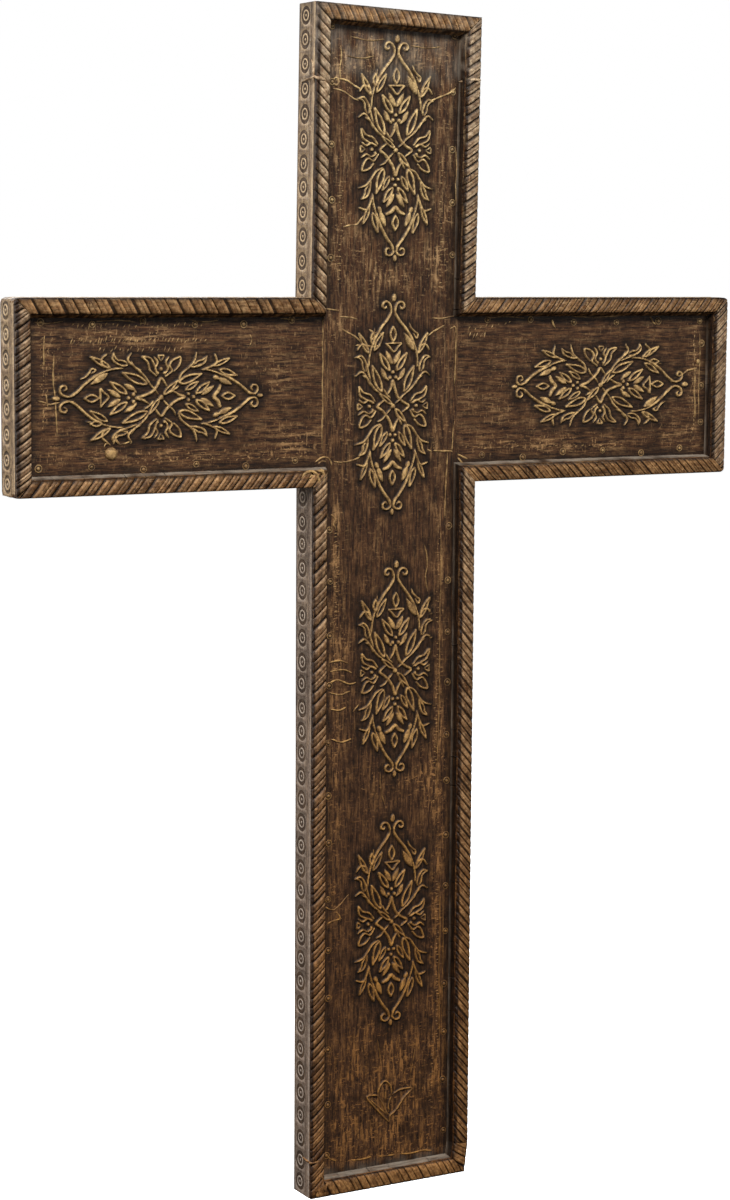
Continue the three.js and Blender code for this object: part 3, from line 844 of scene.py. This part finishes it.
def moulding(name, edge, node, hand, first_spacing, last_spacing, lay, dark_flank, shaded_inner_flank, rub,
             groove_share):
    """A length of moulding: its section is carried along an edge of the outline. The strands are the
    section's rows, slanted by the lay, and each row is stopped at the mitre line at both ends."""
    lots = np.random.default_rng(edge + 40)
    start, end, length, along = edge_run(edge)
    inward = np.array([-along[1], along[0]])
    inner_line = inset(outline, slope_foot)
    run_in = (inner_line[edge] - start) @ along / slope_foot
    run_out = (inner_line[(edge + 1) % len(outline)] - end) @ along / slope_foot
    run, across_strand, cut, rubbed, proud = strand_rows(lots, length, first_spacing, last_spacing,
                                                         groove_share)
    diagonal = np.array([1.0, hand])
    slant = np.sign((diagonal @ along) * (diagonal @ inward)) * lay * (bead_share - 0.5)
    place = np.clip(run + slant, run_in * offset - mitre_overlap, length + run_out * offset + mitre_overlap)
    # a strand swells to its middle, and its grooves run out shallow over the outer edge
    swell = strand_swell * np.sin(math.pi * across_strand)
    groove = groove_depth * cut * np.interp(offset, [rope_outer, rope_outer + 1.5], [0.35, 1.0])
    x = start[0] + along[0] * place + inward[0] * offset
    z = start[1] + along[1] * place + inward[1] * offset
    height = section_height + bead * (rope_height + swell + 0.4 * proud - groove)
    height = height + on_slope * 0.5 * wander(x, z, 26, 7)

    # strand tops are rubbed gold in patches, with a painted highlight across each strand, and the slopes that
    # face down in spots
    faces_up, faces_down, faces_left = np.maximum(0.0, [inward[1], -inward[1], -inward[0]])
    clear = (np.clip((bead_share - dark_flank) / flank_fade, 0, 1)
             * np.clip((1 - shaded_inner_flank - bead_share) / flank_fade, 0, 1))
    patchy = 0.62 + 0.5 * wander(x, z, 30, 5) + 0.35 * wander(x, z, 6, 17) + 0.8 * proud
    dull_side = (0.4 if dark_flank < 0 else 0.15) * (1 - bead_share)
    gilt = (np.clip(bead / 0.4, 0, 1) * clear * np.clip(rub * rubbed * np.clip(patchy, 0.05, 1), 0, 1)
            * (1 - dull_side))
    spots = faces_down * on_slope * np.clip(1.8 * wander(x, z, 8, 20) + 0.25, 0, 1)
    gilt = np.maximum(gilt, spots)
    # wax and painted shade darken the grooves, the slopes and the bead's flanks: the outer flank is stained
    # dark, the inner one is painted shade, and slopes that face left are painted darker still
    flank = (1 - clear) * (offset > 0.1) * (bead_share < 1)
    wax_and_shade = np.maximum((cut > 0.2) * (0.45 + bead), 0.85 * flank)
    wax_and_shade = wax_and_shade + on_slope * (0.8 - 0.8 * faces_down + 0.2 * faces_left)
    # pale grey lies on the slopes, thickest at the foot of the cross: dust, and on the slopes that face up
    # painted sheen as well; dust also lies on the head's cap
    slope_dust_and_sheen = (2.2 if edge == 0 else 1.4) * (faces_up * dust_and_sheen_down_slope + 0.4 * faces_left * dust_at_foot)
    dust_and_sheen = np.minimum(slope_dust_and_sheen * on_slope * np.clip(0.7 + 0.8 * wander(x, z, 40, 6), 0.1, 1), 0.8)
    on_cap = 0.45 * np.clip((z - cap_from) / 8, 0, 1) * np.clip(wander(x, z, 9, 18) + 0.3, 0, 1)
    dust_and_sheen = np.maximum(dust_and_sheen, on_cap)
    grime_and_shade = np.clip(wax_and_shade, 0, 1) * (1 - dust_and_sheen)
    finish = np.stack(np.broadcast_arrays(gilt, grime_and_shade, dust_and_sheen, 0.5 - 0.2 * on_slope), axis=-1)

    # the section is closed by joining its last column to its first
    rows, columns = x.shape
    index = np.arange(rows * columns).reshape(rows, columns)
    ring = np.concatenate([index, index[:, :1]], axis=1)
    faces = np.stack([ring[:-1, :-1], ring[1:, :-1], ring[1:, 1:], ring[:-1, 1:]], axis=-1).reshape(-1, 4)
    caps = [index[0].tolist(), index[-1, ::-1].tolist()]
    material = upright_rope_finish if along[1] ** 2 > 0.5 else arm_rope_finish
    points = np.stack([x, -height, z], axis=-1).reshape(-1, 3)
    clean_mesh(add_piece(name, points, faces.tolist() + caps, finish.reshape(-1, 4), material, node))


for name, facts in rope_lengths.items():
    moulding(name, *facts)


# Seams, cracks and laps
# Ridges of old filler stand along the boards' joints, along the cracks that run from the inner corners
# into the panel, and where a repair laps over the head and the foot. They are rubbed to pale gold on top.
ridge_sides = 6
ridge_step = 2.2
ridge_stray = 0.35
ridge_end_size, ridge_end_share = 0.25, 0.12


def ridges(name, lines, node, material):
    """Raised lines as one piece. Each is a six-sided tube of some radius, carried along the smooth curve
    through its points (x, z, height above the back) and half sunk in the surface; it thins to both ends
    and its radius wavers."""
    points, faces, finish, count = [], [], [], 0
    angle = math.tau * np.arange(ridge_sides) / ridge_sides + math.tau / 12
    upper = np.sin(angle) > 0.4
    for number, (radius, *stops) in enumerate(lines):
        stops = np.array([(*stop, panel_face)[:3] for stop in stops], float)
        path = smooth_path(stops, max(2, round(np.linalg.norm(stops[1] - stops[0]) / ridge_step)))
        x, z = path[:, 0].copy(), path[:, 1].copy()
        path[:, :2] += ridge_stray * np.column_stack([wander(x, z, 9, 60), wander(x, z, 9, 61)])
        x, z = path[:, 0], path[:, 1]
        forward = np.gradient(path, axis=0)
        forward /= np.linalg.norm(forward, axis=1)[:, None]
        side = np.cross(forward, np.array([0.0, 0.0, 1.0])) + 1e-6
        side /= np.linalg.norm(side, axis=1)[:, None]
        upwards = np.cross(side, forward)
        share = np.linspace(0, 1, len(path))
        size = radius * np.minimum(1, ridge_end_size + np.minimum(share, 1 - share) / ridge_end_share)
        size = size * (1 + 0.35 * wander(x, z, 12, 62 + number))
        ring = path[:, None] + size[:, None, None] * (np.cos(angle)[None, :, None] * side[:, None]
                                                      + np.sin(angle)[None, :, None] * upwards[:, None])
        index = count + np.arange(len(path) * ridge_sides).reshape(len(path), ridge_sides)
        after = np.roll(index, -1, axis=1)
        faces += np.stack([index[:-1], after[:-1], after[1:], index[1:]], axis=-1).reshape(-1, 4).tolist()
        faces += [index[0, ::-1].tolist(), index[-1].tolist()]
        points.append(np.stack([ring[..., 0], -ring[..., 2], ring[..., 1]], axis=-1).reshape(-1, 3))
        # thin ridges are duller, and all are bright only in places; each tube's lower half is darkened where
        # it meets the surface, as wax and painted shade
        bright = np.clip((radius - 0.5) / 0.4, 0.35, 1) * np.clip(0.75 + 0.9 * wander(x, z, 16, 63), 0.15, 1)
        gilt = np.where(upper, 0.9, 0.1) * bright[:, None]
        grime_and_shade = np.where(upper, 0.0, 0.8)
        marks = np.stack(np.broadcast_arrays(gilt, grime_and_shade, 0.0, 0.6), axis=-1)
        finish.append(marks.reshape(-1, 4))
        count += index.size
    add_piece(name, np.vstack(points), faces, np.vstack(finish), material, node)


# each line: its radius, then its points as x and z, with a height where it leaves the panel's face
ridges("upright_ridges", [
    (0.9, (-71, -73), (-62, -75), (-52, -74), (-43, -72), (-36, -67), (-32, -57)),
    (0.8, (-80, 88), (-72, 87), (-64, 86)),
    (0.8, (-64, 80), (-52, 79), (-42, 77)),
    (1.0, (-61, 67), (-52, 62), (-46, 59), (-36, 52)),
    (0.8, (51, 78), (62, 77.5), (72, 79), (81, 80)),
    (1.0, (45, 59), (55, 65), (66, 70)),
    (0.8, (73, 66), (77, 68), (80, 67), (80.5, 49), (80, 25), (79, 4)),
    (0.9, (46, -64), (52, -67)),
    (1.2, (53, -65.5), (60, -66), (68, -66.5), (78, -67)),
    (0.9, (71, -68), (70.5, -85), (69.5, -98), (69, -115), (68, -140)),
    (0.8, (80, -34), (78, -46), (77.5, -58), (77, -66)),
    (1.2, (-44, 49), (-36, 49.5), (-24, 48), (-13, 48.5)),
    (0.8, (-25, 57), (-22, 62), (-17, 62.5), (-11, 61)),
    (0.7, (-18, 56), (-13, 58.5), (-9, 58)),
    (0.9, (-28, 66), (-23, 63), (-22, 58), (-26, 54)),
    (1.1, (-73, 323), (-69, 321), (-66, 325), (-69, 329), (-73, 327)),
    (1.0, (-66, 328), (-58, 327), (-48, 322), (-38, 317)),
    (0.8, (-73, 318), (-60, 315), (-50, 309), (-42, 306)),
    (1.1, (46, 309), (54, 312), (62, 315), (70, 318), (77, 324)),
    (0.9, (-60, 174), (-52, 176), (-44, 177), (-37, 184), (-31, 190)),
    (0.8, (-73, -130), (-68, -135), (-70, -141), (-66, -147)),
    (0.9, (-74, -290), (-61, -289), (-50, -293)),
    (0.9, (-73, -300), (-58, -299), (-46, -303)),
    (1.0, (-74, -312), (-63, -310), (-50, -315), (-41, -314)),
    (0.9, (-73, -323), (-61, -326), (-48, -323)),
    (0.9, (-72, -341), (-62, -343), (-53, -340)),
    (0.9, (-71, -374), (-58, -378), (-46, -375)),
    (0.8, (43, -168), (46, -178), (47, -190), (45, -203), (48, -220)),
    (0.7, (-10, -414), (-10, -428), (-8, -440), (-4, -452)),
    (0.9, (-75, -577), (-68, -575), (-57, -573)),
    (0.8, (-64, -565), (-60, -570), (-59, -576)),
    (0.8, (-78, -558), (-66, -562), (-48, -547)),
    (0.8, (-45, -346), (-37, -338)),
    (0.7, (-12, -714), (-10, -722), (-8, -732), (-7, -738)),
    (0.7, (37, -732), (34, -748), (30, -768)),
    (0.9, (-76, -836), (-70, -842), (-62, -846)),
    (1.0, (-44, -848), (-30, -849), (-18, -848)),
    (0.9, (-9, -849), (2, -850), (12, -850)),
    (1.0, (20, -851), (34, -852), (48, -851), (60, -853)),
    (0.8, (81.5, 186, 30), (81, 170, 30), (82, 150, 30), (81.6, 127, 30)),
    (0.7, (77, 262), (79, 240), (78, 218), (79, 199)),
    (0.7, (63.5, -150), (64.5, -200), (63.5, -260), (64, -330), (62.5, -395), (62, -453)),
    (0.7, (66, -545), (68, -600), (67, -650), (69, -744)),
    (0.7, (71.5, -560), (72, -640), (71, -720)),
    (0.8, (-64, 362), (-63, 350), (-65, 338), (-64, 328)),
    (0.7, (-52, 372), (-30, 369), (-12, 371)),
    (0.7, (20, 366), (40, 364), (58, 366)),
    (0.7, (-58, 352), (-40, 350), (-22, 353)),
], "upright", upright_finish)
ridges("left_arm_ridges", [
    (0.75, (-84, 80), (-83.6, 62), (-84.2, 50), (-83.5, 30), (-84, 10), (-83.6, -13), (-84.4, -40),
     (-84, -60)),
    (0.9, (-92, -74), (-88, -71), (-84, -69), (-78, -69), (-74, -73), (-72, -78)),
    (0.75, (-89, -76), (-84, -73), (-79, -74)),
    (0.8, (-86, 88), (-96, 84), (-112, 83)),
    (0.9, (-408, -3), (-401, -5), (-394, -7), (-384, -5)),
    (0.8, (-399, 3), (-398, -3), (-397, -10)),
    (0.9, (-321, -50), (-316, -49), (-312, -48), (-305, -46)),
    (0.8, (-400, 62), (-401, 46), (-401, 31)),
    (0.8, (-390, 43), (-391, 18), (-389, -2), (-387, -38)),
    (0.7, (-412, 76), (-398, 74), (-380, 76)),
    (0.7, (-345, 76), (-320, 77), (-300, 75)),
    (0.7, (-240, 77), (-222, 75), (-205, 77)),
    (0.8, (-170, 62), (-168, 56), (-170, 50)),
    (0.7, (-100, 79), (-115, 77), (-135, 78)),
], "left_arm", arm_finish)
ridges("right_arm_ridges", [
    (0.9, (84, -70), (90, -73), (97, -76)),
    (1.1, (84, -74), (90, -80), (95, -86), (99, -92, 36)),
    (1.1, (378, 10), (385, 14), (390, 17), (396, 18), (403, 20)),
    (1.9, (404, 24), (404.4, 27), (404, 30)),
    (1.0, (400, 21), (400.5, 5), (400, -6), (401.5, -22), (402, -38)),
    (0.9, (336, 79), (340, 73), (345, 69)),
    (0.9, (204, 76), (206, 71), (210, 66)),
    (0.7, (120, 78), (145, 79), (170, 77)),
    (0.7, (230, 79), (262, 78), (300, 80)),
    (0.7, (406, 60), (407, 30), (406, 0), (407, -40)),
], "right_arm", arm_finish)
ridges("head_lap", [
    (1.6, (-79, 322, 28), (-85, 323, 35), (-89, 325, 39.8), (-98, 327, 39.8), (-99.7, 328, 36),
     (-99.6, 327, 22), (-99.6, 325, 8)),
    (1.6, (80, 330, 29), (85, 331, 35), (89, 332, 39.8), (98, 332, 39.8), (101, 332, 36), (101, 331, 20)),
    (1.4, (-90, 318, 40.0), (-86, 310, 40.0), (-84.5, 300, 36.5)),
    (1.3, (-99.5, 346, 30), (-99.5, 338, 34), (-99.8, 322, 35)),
], "upright", upright_rope_finish)
ridges("foot_lap", [
    (1.2, (-80, -836, 28), (-85, -837, 35), (-89, -838, 39.8), (-99, -839, 39.8), (-100, -839, 33),
     (-100, -838, 20)),
    (1.1, (80, -846, 28), (85, -846, 35), (90, -847, 39.8), (97, -847, 39.8)),
    (1.2, (-98, -842, 40.0), (-91, -850, 40.0), (-84, -861, 40.0)),
    (1.2, (-84, -842, 40.0), (-92, -855, 40.0), (-97, -868, 40.0)),
    (1.2, (-80, -864, 40.0), (-82, -872, 40.0), (-83, -878, 39.5)),
], "upright", upright_rope_finish)
ridges("corner_curl", [
    (1.7, (-116, -90, 39.6), (-110, -84, 40.0), (-103, -82.5, 40.1), (-97, -86, 40.1), (-94, -92, 40.0),
     (-92, -98, 39.6)),
    (1.5, (-97, -82, 39.8), (-91, -83, 39.8), (-88, -88, 39.6), (-89, -95, 39.6)),
    (1.2, (-92, -80, 38), (-86.5, -84, 37.5), (-86, -92, 37.5)),
    (1.2, (-106, -90, 40.1), (-103, -87, 40.1), (-100, -90, 40.1), (-103, -93, 40.1), (-106, -91, 40.1)),
], "upright", upright_finish)


# The tacks
# Small round-headed metal tacks go round the panel just inside the moulding, each in the ring that its
# hammer pressed. Most are black with wax and only their rims show.
tack_pitch = 58.0
tack_line = 74.0
tack_sides = 14
# a tack's profile, from the middle of its head to the edge of its ring, and its finish there
tack_radii = np.array([0.0, 1.2, 1.9, 2.2, 3.0, 3.7, 4.5])
tack_heights = np.array([1.7, 1.4, 0.7, 0.0, 0.2, 0.75, -0.4])
tack_gilt = np.array([0.6, 0.5, 0.3, 0.0, 0.1, 0.7, 0.0])
tack_grime = np.array([0.0, 0.0, 0.3, 1.0, 0.8, 0.1, 0.6])


def ring_faces(index):
    """The four-cornered faces between closed rings of points, one ring a row, from the inmost out."""
    after = np.roll(index, -1, axis=1)
    return np.stack([index[:-1], index[1:], after[1:], after[:-1]], axis=-1).reshape(-1, 4).tolist()


def fan_faces(ring, tip):
    """Three-cornered faces from each two neighbours on a ring to the point in its middle."""
    return [[a, b, tip] for a, b in zip(ring.tolist(), np.roll(ring, -1).tolist())]


def tacks(name, places, node, material):
    """Tack heads in their rings as one piece: each is a profile of heights at radii, turned round its
    own middle, and closed underneath."""
    lots = np.random.default_rng(len(places))
    angle = math.tau * np.arange(tack_sides) / tack_sides
    gilt, grime_and_shade = np.repeat(tack_gilt[1:], tack_sides), np.repeat(tack_grime[1:], tack_sides)
    points, faces, finish, count = [], [], [], 0
    for x, z in places:
        x, z = x + lots.uniform(-1, 1), z + lots.uniform(-3, 3)
        radii = lots.uniform(0.85, 1.05) * tack_radii[1:, None]
        height = panel_face + tack_heights[1:, None] + 0 * angle
        rings = np.stack([x + radii * np.cos(angle), -height, z + radii * np.sin(angle)], axis=-1)
        top, under = (x, -panel_face - tack_heights[0], z), (x, -panel_face + 1, z)
        points.append(np.vstack([rings.reshape(-1, 3), top, under]))
        index = count + np.arange(gilt.size).reshape(-1, tack_sides)
        count += gilt.size + 2
        faces += ring_faces(index) + fan_faces(index[0], count - 2) + fan_faces(index[-1, ::-1], count - 1)
        shine = lots.uniform(0.5, 1.0)
        marks = np.column_stack([shine * gilt, grime_and_shade, 0 * gilt])
        finish.append(np.vstack([marks, [shine * tack_gilt[0], 0, 0], [0, 1, 0]]))
    add_piece(name, np.vstack(points), faces, np.vstack(finish), material, node)


def tack_row(start, end):
    """Places at about the tacks' own pitch from one place to another."""
    start, end = np.array(start, float), np.array(end, float)
    count = max(1, round(np.linalg.norm(end - start) / tack_pitch))
    return [tuple(start + (end - start) * (number / count)) for number in range(count + 1)]


tacks("upright_tacks", [
    *tack_row((-tack_line, 142), (-tack_line, 382)),
    *tack_row((tack_line, 145), (tack_line, 376)),
    *tack_row((-tack_line, -145), (-tack_line, -836)),
    *tack_row((tack_line, -150), (tack_line, -832)),
], "upright", upright_finish)
tacks("left_arm_tacks", [
    *tack_row((-116, -tack_line), (-408, -tack_line)),
    *tack_row((-120, tack_line), (-405, tack_line)),
], "left_arm", arm_finish)
tacks("right_arm_tacks", [
    *tack_row((115, -tack_line), (381, -tack_line)),
    *tack_row((120, tack_line), (405, tack_line)),
    *tack_row((409, 45), (409, -45)),
], "right_arm", arm_finish)


# The plug on the left arm
# Below the left medallion a hooked leaf has broken out. An oval plug of paler wood fills the hole, rounded
# over by hand, and the broken leaf's stump curls beside it.
plug_x, plug_z, plug_wide, plug_tall = -328.0, -58.5, 7.4, 7.0
plug_base, plug_rise = panel_face - 0.5, 3.4
plug_rings, plug_sides = 7, 24
share = np.linspace(0, 1, plug_rings + 1)[1:, None]
turn = math.tau * np.arange(plug_sides)[None, :] / plug_sides
# a low dome: its height falls with the fourth power of the way out to its rim
dome = np.stack(np.broadcast_arrays(plug_x + plug_wide * share * np.cos(turn),
                                    -(plug_base + plug_rise * (1 - share ** 4)),
                                    plug_z + plug_tall * share * np.sin(turn)), axis=-1).reshape(-1, 3)
index = np.arange(len(dome)).reshape(plug_rings, plug_sides)
plug_faces = ring_faces(index) + fan_faces(index[0], len(dome)) + [index[-1, ::-1].tolist()]
plug_points = np.vstack([dome, [plug_x, -(plug_base + plug_rise), plug_z]])
plug_marks = np.tile([0.55, 0.0, 0.0, 0.9], (len(plug_points), 1))
add_piece("plug", plug_points, plug_faces, plug_marks, arm_finish, "left_arm")
ridges("broken_leaf", [
    (1.5, (-308, -40), (-312, -36), (-318, -35.5), (-323, -40), (-322, -46), (-317, -50)),
    (0.9, (-328, -50), (-333, -47), (-336, -52)),
], "left_arm", arm_finish)


# Tool marks
# Rows of short cuts from a small gouge run down the right of the upright and along the tops of the arms.
# Each throws up a burr of wood, which rubbing has made pale.
mark_half_wide, mark_rise = 0.75, 0.9
# a cut's bead: its six corners, four round its waist, one above and one below, and its eight faces
mark_corners = np.array([[1, 0, 0], [0, 1, 0], [-1, 0, 0], [0, -1, 0], [0, 0, 1], [0, 0, -1]], float)
mark_sides = np.array([[0, 1, 4], [1, 2, 4], [2, 3, 4], [3, 0, 4],
                       [1, 0, 5], [2, 1, 5], [3, 2, 5], [0, 3, 5]])


def tool_marks(name, rows, node, material):
    """Short raised cuts as one piece. A row runs from place to place at a spacing; each cut is a long
    eight-faced bead of some length, turned by an angle."""
    lots = np.random.default_rng(len(rows))
    points, faces, first = [], [], 0
    for start, end, spacing, length, degrees in rows:
        start, end = np.array(start, float), np.array(end, float)
        count = int(np.linalg.norm(end - start) / spacing)
        strays = lots.uniform(-1.6, 1.6, (count, 2))
        middles = start + (end - start) * np.linspace(0, 1, count)[:, None] + strays
        angle = math.radians(degrees) + lots.uniform(-0.25, 0.25, count)
        half_long = length / 2 * lots.uniform(0.5, 1.2, count)
        run = half_long[:, None] * np.column_stack([np.cos(angle), np.sin(angle)])
        cross = np.column_stack([-np.sin(angle), np.cos(angle)])
        flat = (middles[:, None] + mark_corners[:, :1] * run[:, None]
                + mark_corners[:, 1:2] * mark_half_wide * cross[:, None])
        up = panel_face + mark_rise * mark_corners[:, 2] + 0 * flat[..., 0]
        points.append(np.stack([flat[..., 0], -up, flat[..., 1]], axis=-1).reshape(-1, 3))
        own = first + len(mark_corners) * np.arange(count)
        faces += (own[:, None, None] + mark_sides).reshape(-1, 3).tolist()
        first += len(mark_corners) * count
    marks = np.tile([0.45, 0.0, 0.0, 0.8], (first, 1))
    add_piece(name, np.vstack(points), faces, marks, material, node, 0)


# each row: where it starts and ends, the spacing of its cuts, their length and their angle
tool_marks("upright_tool_marks", [
    ((61, -150), (61, -330), 5.5, 3.5, 0),
    ((60, -330), (59, -453), 4.3, 4.5, 0),
    ((63, -545), (66, -744), 4.3, 5.0, 0),
    ((60, -718), (58, -803), 4.3, 5.0, 0),
    ((-38, -846), (56, -850), 6.0, 3.0, 80),
    ((-66, -150), (-66, -240), 5.0, 6.0, 10),
    ((-62, 220), (-64, 120), 6.5, 5.0, 0),
    ((62, 250), (60, 110), 6.5, 5.0, 0),
], "upright", upright_finish)
tool_marks("left_arm_tool_marks", [
    ((-370, 72), (-226, 72), 6.0, 5.0, 60),
    ((-372, 57), (-222, 56), 4.2, 7.0, 62),
    ((-340, 48), (-250, 47), 5.5, 6.0, 60),
    ((-403, 60), (-402, -30), 5.0, 3.0, 80),
    ((-310, -66), (-110, -68), 9.0, 4.0, 20),
], "left_arm", arm_finish)
tool_marks("right_arm_tool_marks", [
    ((97, 60), (116, 59), 3.6, 7.0, 65),
    ((97, 66), (150, 72), 6.0, 4.0, 50),
    ((110, -64), (300, -66), 8.0, 5.0, 10),
    ((398, 60), (399, -60), 5.0, 5.0, 85),
], "right_arm", arm_finish)


# The boards
# Behind the carving the three boards are plain stained wood, butted together at the crossing. Their backs
# are sawn flat and lie on the wall.
board_top = 27.0
# stained once and never rubbed: what it gives the eye is an even, dull brown
back_shades = ("#2c2018", "#423123", "#584431")
back_rubbed = ("#6d543a", "#75604a")
board_finish = stained_wood("stained_wood_back", "Z", back_shades, back_rubbed, back_rubbed, 0.5, 0.62)
# the joints between the boards follow the mitres of the moulding
inner = inset(outline, 17.0)
upright_corners = np.vstack([outline[0:4], inner[3], inner[6], outline[6:10], inner[9], inner[12],
                             outline[12]])
left_corners = np.vstack([outline[11:13], inner[12], inner[9], outline[9:11]])
right_corners = np.vstack([outline[3:7], inner[6], inner[3]])


def board(name, corners, node):
    """A straight-sided block: the corners, walked anticlockwise as seen from the front, carried from
    behind the carving to the back."""
    count = len(corners)
    points = np.vstack([np.column_stack([corners[:, 0], np.full(count, y), corners[:, 1]])
                        for y in (-board_top, 0.0)])
    faces = [list(range(count)), list(range(2 * count - 1, count - 1, -1))]
    faces += [[i, count + i, count + (i + 1) % count, (i + 1) % count] for i in range(count)]
    add_piece(name, points, faces, np.zeros((2 * count, 3)), board_finish, node, 0)


board("upright_board", upright_corners, "upright")
board("left_arm_board", left_corners, "left_arm")
board("right_arm_board", right_corners, "right_arm")


# The punched sides
# The edges of the boards carry a row of double rings struck with a round punch, and a plain strip in front
# that handling has worn light along its corner. Low down they have greyed.
punch_up = 14.6
cell_low, cell_high = 2.8, 26.6
cell_sides = 5
side_proud = 0.2
# rings are struck smaller in a cell with less room than this on each side
punch_room = 11.2
# the same wood, thinly stained: what it gives the eye is a dull grey-brown low down, and a paler, warmer
# brown on the arms and the head
grey_side_finish = stained_wood("stained_wood_grey_side", "Z", ("#3b2d24", "#6a584a", "#8f7a6b"),
                                ("#9a8068", "#b49b7b"), ("#aa9c8e", "#c0ad93"), 0.6, 0.46)
brown_side_finish = stained_wood("stained_wood_brown_side", "Z", ("#3f2f22", "#765f4a", "#9d8467"),
                                 ("#b39368", "#bba17c"), ("#c2a277", "#ccb18a"), 0.7, 0.46)
# a struck ring's circles: how far out each lies, how proud it stands, how dark and how pale
punch_radii = np.array([0.0, 1.2, 1.8, 4.2, 4.7, 6.1, 6.6, 9.8, 10.4])
punch_out = np.array([0.1, 0.1, -0.7, -0.7, 0.1, 0.2, -0.8, -0.8, 0.0])
punch_grime = np.array([0.0, 0.0, 1.0, 1.0, 0.0, 0.0, 1.0, 1.0, 0.0])
punch_pale = np.array([0.9, 0.9, 0.0, 0.0, 0.8, 0.9, 0.0, 0.0, 0.45])
# the plain strips, as heights above the back, how proud they stand there, how dark and how pale: the one
# behind the rings and the worn one in front of them
plain_strips = [
    np.array([[0.6, cell_low], [0, 0], [0.45, 0.2], [0, 0]]),
    np.array([[cell_high, 31.0, 34.4, 35.6, 36.0], [0, 0, 0.05, -0.25, -1.0],
              [0.2, 0.0, 0.0, 0.1, 0.5], [0, 0.15, 0.75, 0.5, 0]]),
]


def punched_side(name, edge, node, spacing, material, strip_wear, darkness):
    """One board edge: a row of square cells, each a punched double ring whose circles widen from its
    centre to the cell's border, between a plain strip at the back and a worn one in front."""
    lots = np.random.default_rng(edge + 80)
    start, end, length, along = edge_run(edge)
    outward = np.array([along[1], -along[0]])
    borders = np.linspace(0, length, max(1, round(length / spacing)) + 1)
    # the square border of a cell, walked anticlockwise as seen from outside, from -1 to 1
    step = np.linspace(-1, 1, cell_sides + 1)[:-1]
    ones = np.ones(cell_sides)
    square = np.array([[*step, *ones, *-step, *-ones], [*-ones, *step, *ones, *-step]])
    angle = np.arctan2(square[1], square[0])
    points, faces, finish = [], [], []

    def put(run, up, out, grime_and_shade, gilt):
        """Points from runs along the edge, heights above the back and stands outwards."""
        run, up, out = np.broadcast_arrays(run, up, out)
        x = start[0] + along[0] * run + outward[0] * (out + side_proud)
        z = start[1] + along[1] * run + outward[1] * (out + side_proud)
        first = sum(map(len, points))
        points.append(np.stack([x, -up, z], axis=-1).reshape(-1, 3))
        # the head's cap is darker than the rest
        darker = 0.4 * np.clip((z - cap_from - 1) / 4, 0, 1) * np.clip(0.7 + wander(x - up, z, 25, 19), 0, 1)
        finish.append(np.stack(np.broadcast_arrays(gilt, grime_and_shade + darker, 0.0 * x), axis=-1).reshape(-1, 3))
        return first

    for left_border, right_border in zip(borders, borders[1:]):
        middle = (left_border + right_border) / 2
        half_wide = (right_border - left_border) / 2
        radii = punch_radii[1:, None] * (lots.uniform(0.94, 1.03) * min(1.0, half_wide / punch_room))
        shift = lots.uniform(-0.8, 0.8, 2)
        struck = lots.uniform(0.85, 1.0)
        room = np.where(square[1] < 0, punch_up - cell_low, cell_high - punch_up)
        run = np.vstack([middle + shift[0] + radii * np.cos(angle), middle + half_wide * square[0]])
        up = np.vstack([punch_up + shift[1] + radii * np.sin(angle), punch_up + room * square[1]])
        out, dark, pale = (np.append(values[1:], rim)[:, None]
                           for values, rim in ((punch_out, 0.0), (punch_grime, 0.15), (punch_pale, 0.0)))
        first = put(run, up, out, darkness * struck * dark, struck * pale)
        index = first + np.arange(run.size).reshape(run.shape)
        centre = put(np.array([middle + shift[0]]), punch_up + shift[1], punch_out[0], 0.1, 0.5)
        faces += ring_faces(index) + fan_faces(index[0], centre)
    # the strips have columns where the cells' border points are
    columns = [np.linspace(a, b, cell_sides + 1) for a, b in zip(borders, borders[1:])]
    columns = np.unique(np.round(np.concatenate(columns), 6))
    low_down = np.clip((-420 - start[1] - along[1] * columns) / 200, 0, 1)
    wear = (0.75 + 0.35 * wander(columns, 0 * columns + edge * 50, 30, 9)) * (strip_wear + 0.6 * low_down)
    for strip in plain_strips:
        up, out, grime_and_shade, gilt = strip[:, :, None]
        first = put(columns, up, out, grime_and_shade, gilt * wear)
        faces += grid_faces(len(up), len(columns), first)
    clean_mesh(add_piece(name, np.vstack(points), faces, np.vstack(finish), material, node))


# each side: its edge, its node and the spacing of its rings
side_lengths = {
    "foot_side": (0, "upright", 24),
    "foot_corner_side": (1, "upright", 34),
    "lower_right_side": (2, "upright", 24),
    "right_arm_low_side": (3, "right_arm", 24),
    "right_arm_end_side": (4, "right_arm", 25),
    "right_arm_top_side": (5, "right_arm", 24),
    "head_right_side": (6, "upright", 25),
    "head_top_side": (7, "upright", 25),
    "head_left_side": (8, "upright", 26),
    "left_arm_top_side": (9, "left_arm", 24),
    "left_arm_end_side": (10, "left_arm", 25),
    "left_arm_low_side": (11, "left_arm", 24),
    "lower_left_side": (12, "upright", 25.2),
}
for name, (edge, node, spacing) in side_lengths.items():
    low_side = edge in (0, 1, 2, 12)
    looks = (grey_side_finish, 0.5, 1.0) if low_side else (brown_side_finish, 1.0, 0.75)
    punched_side(name, edge, node, spacing, *looks)
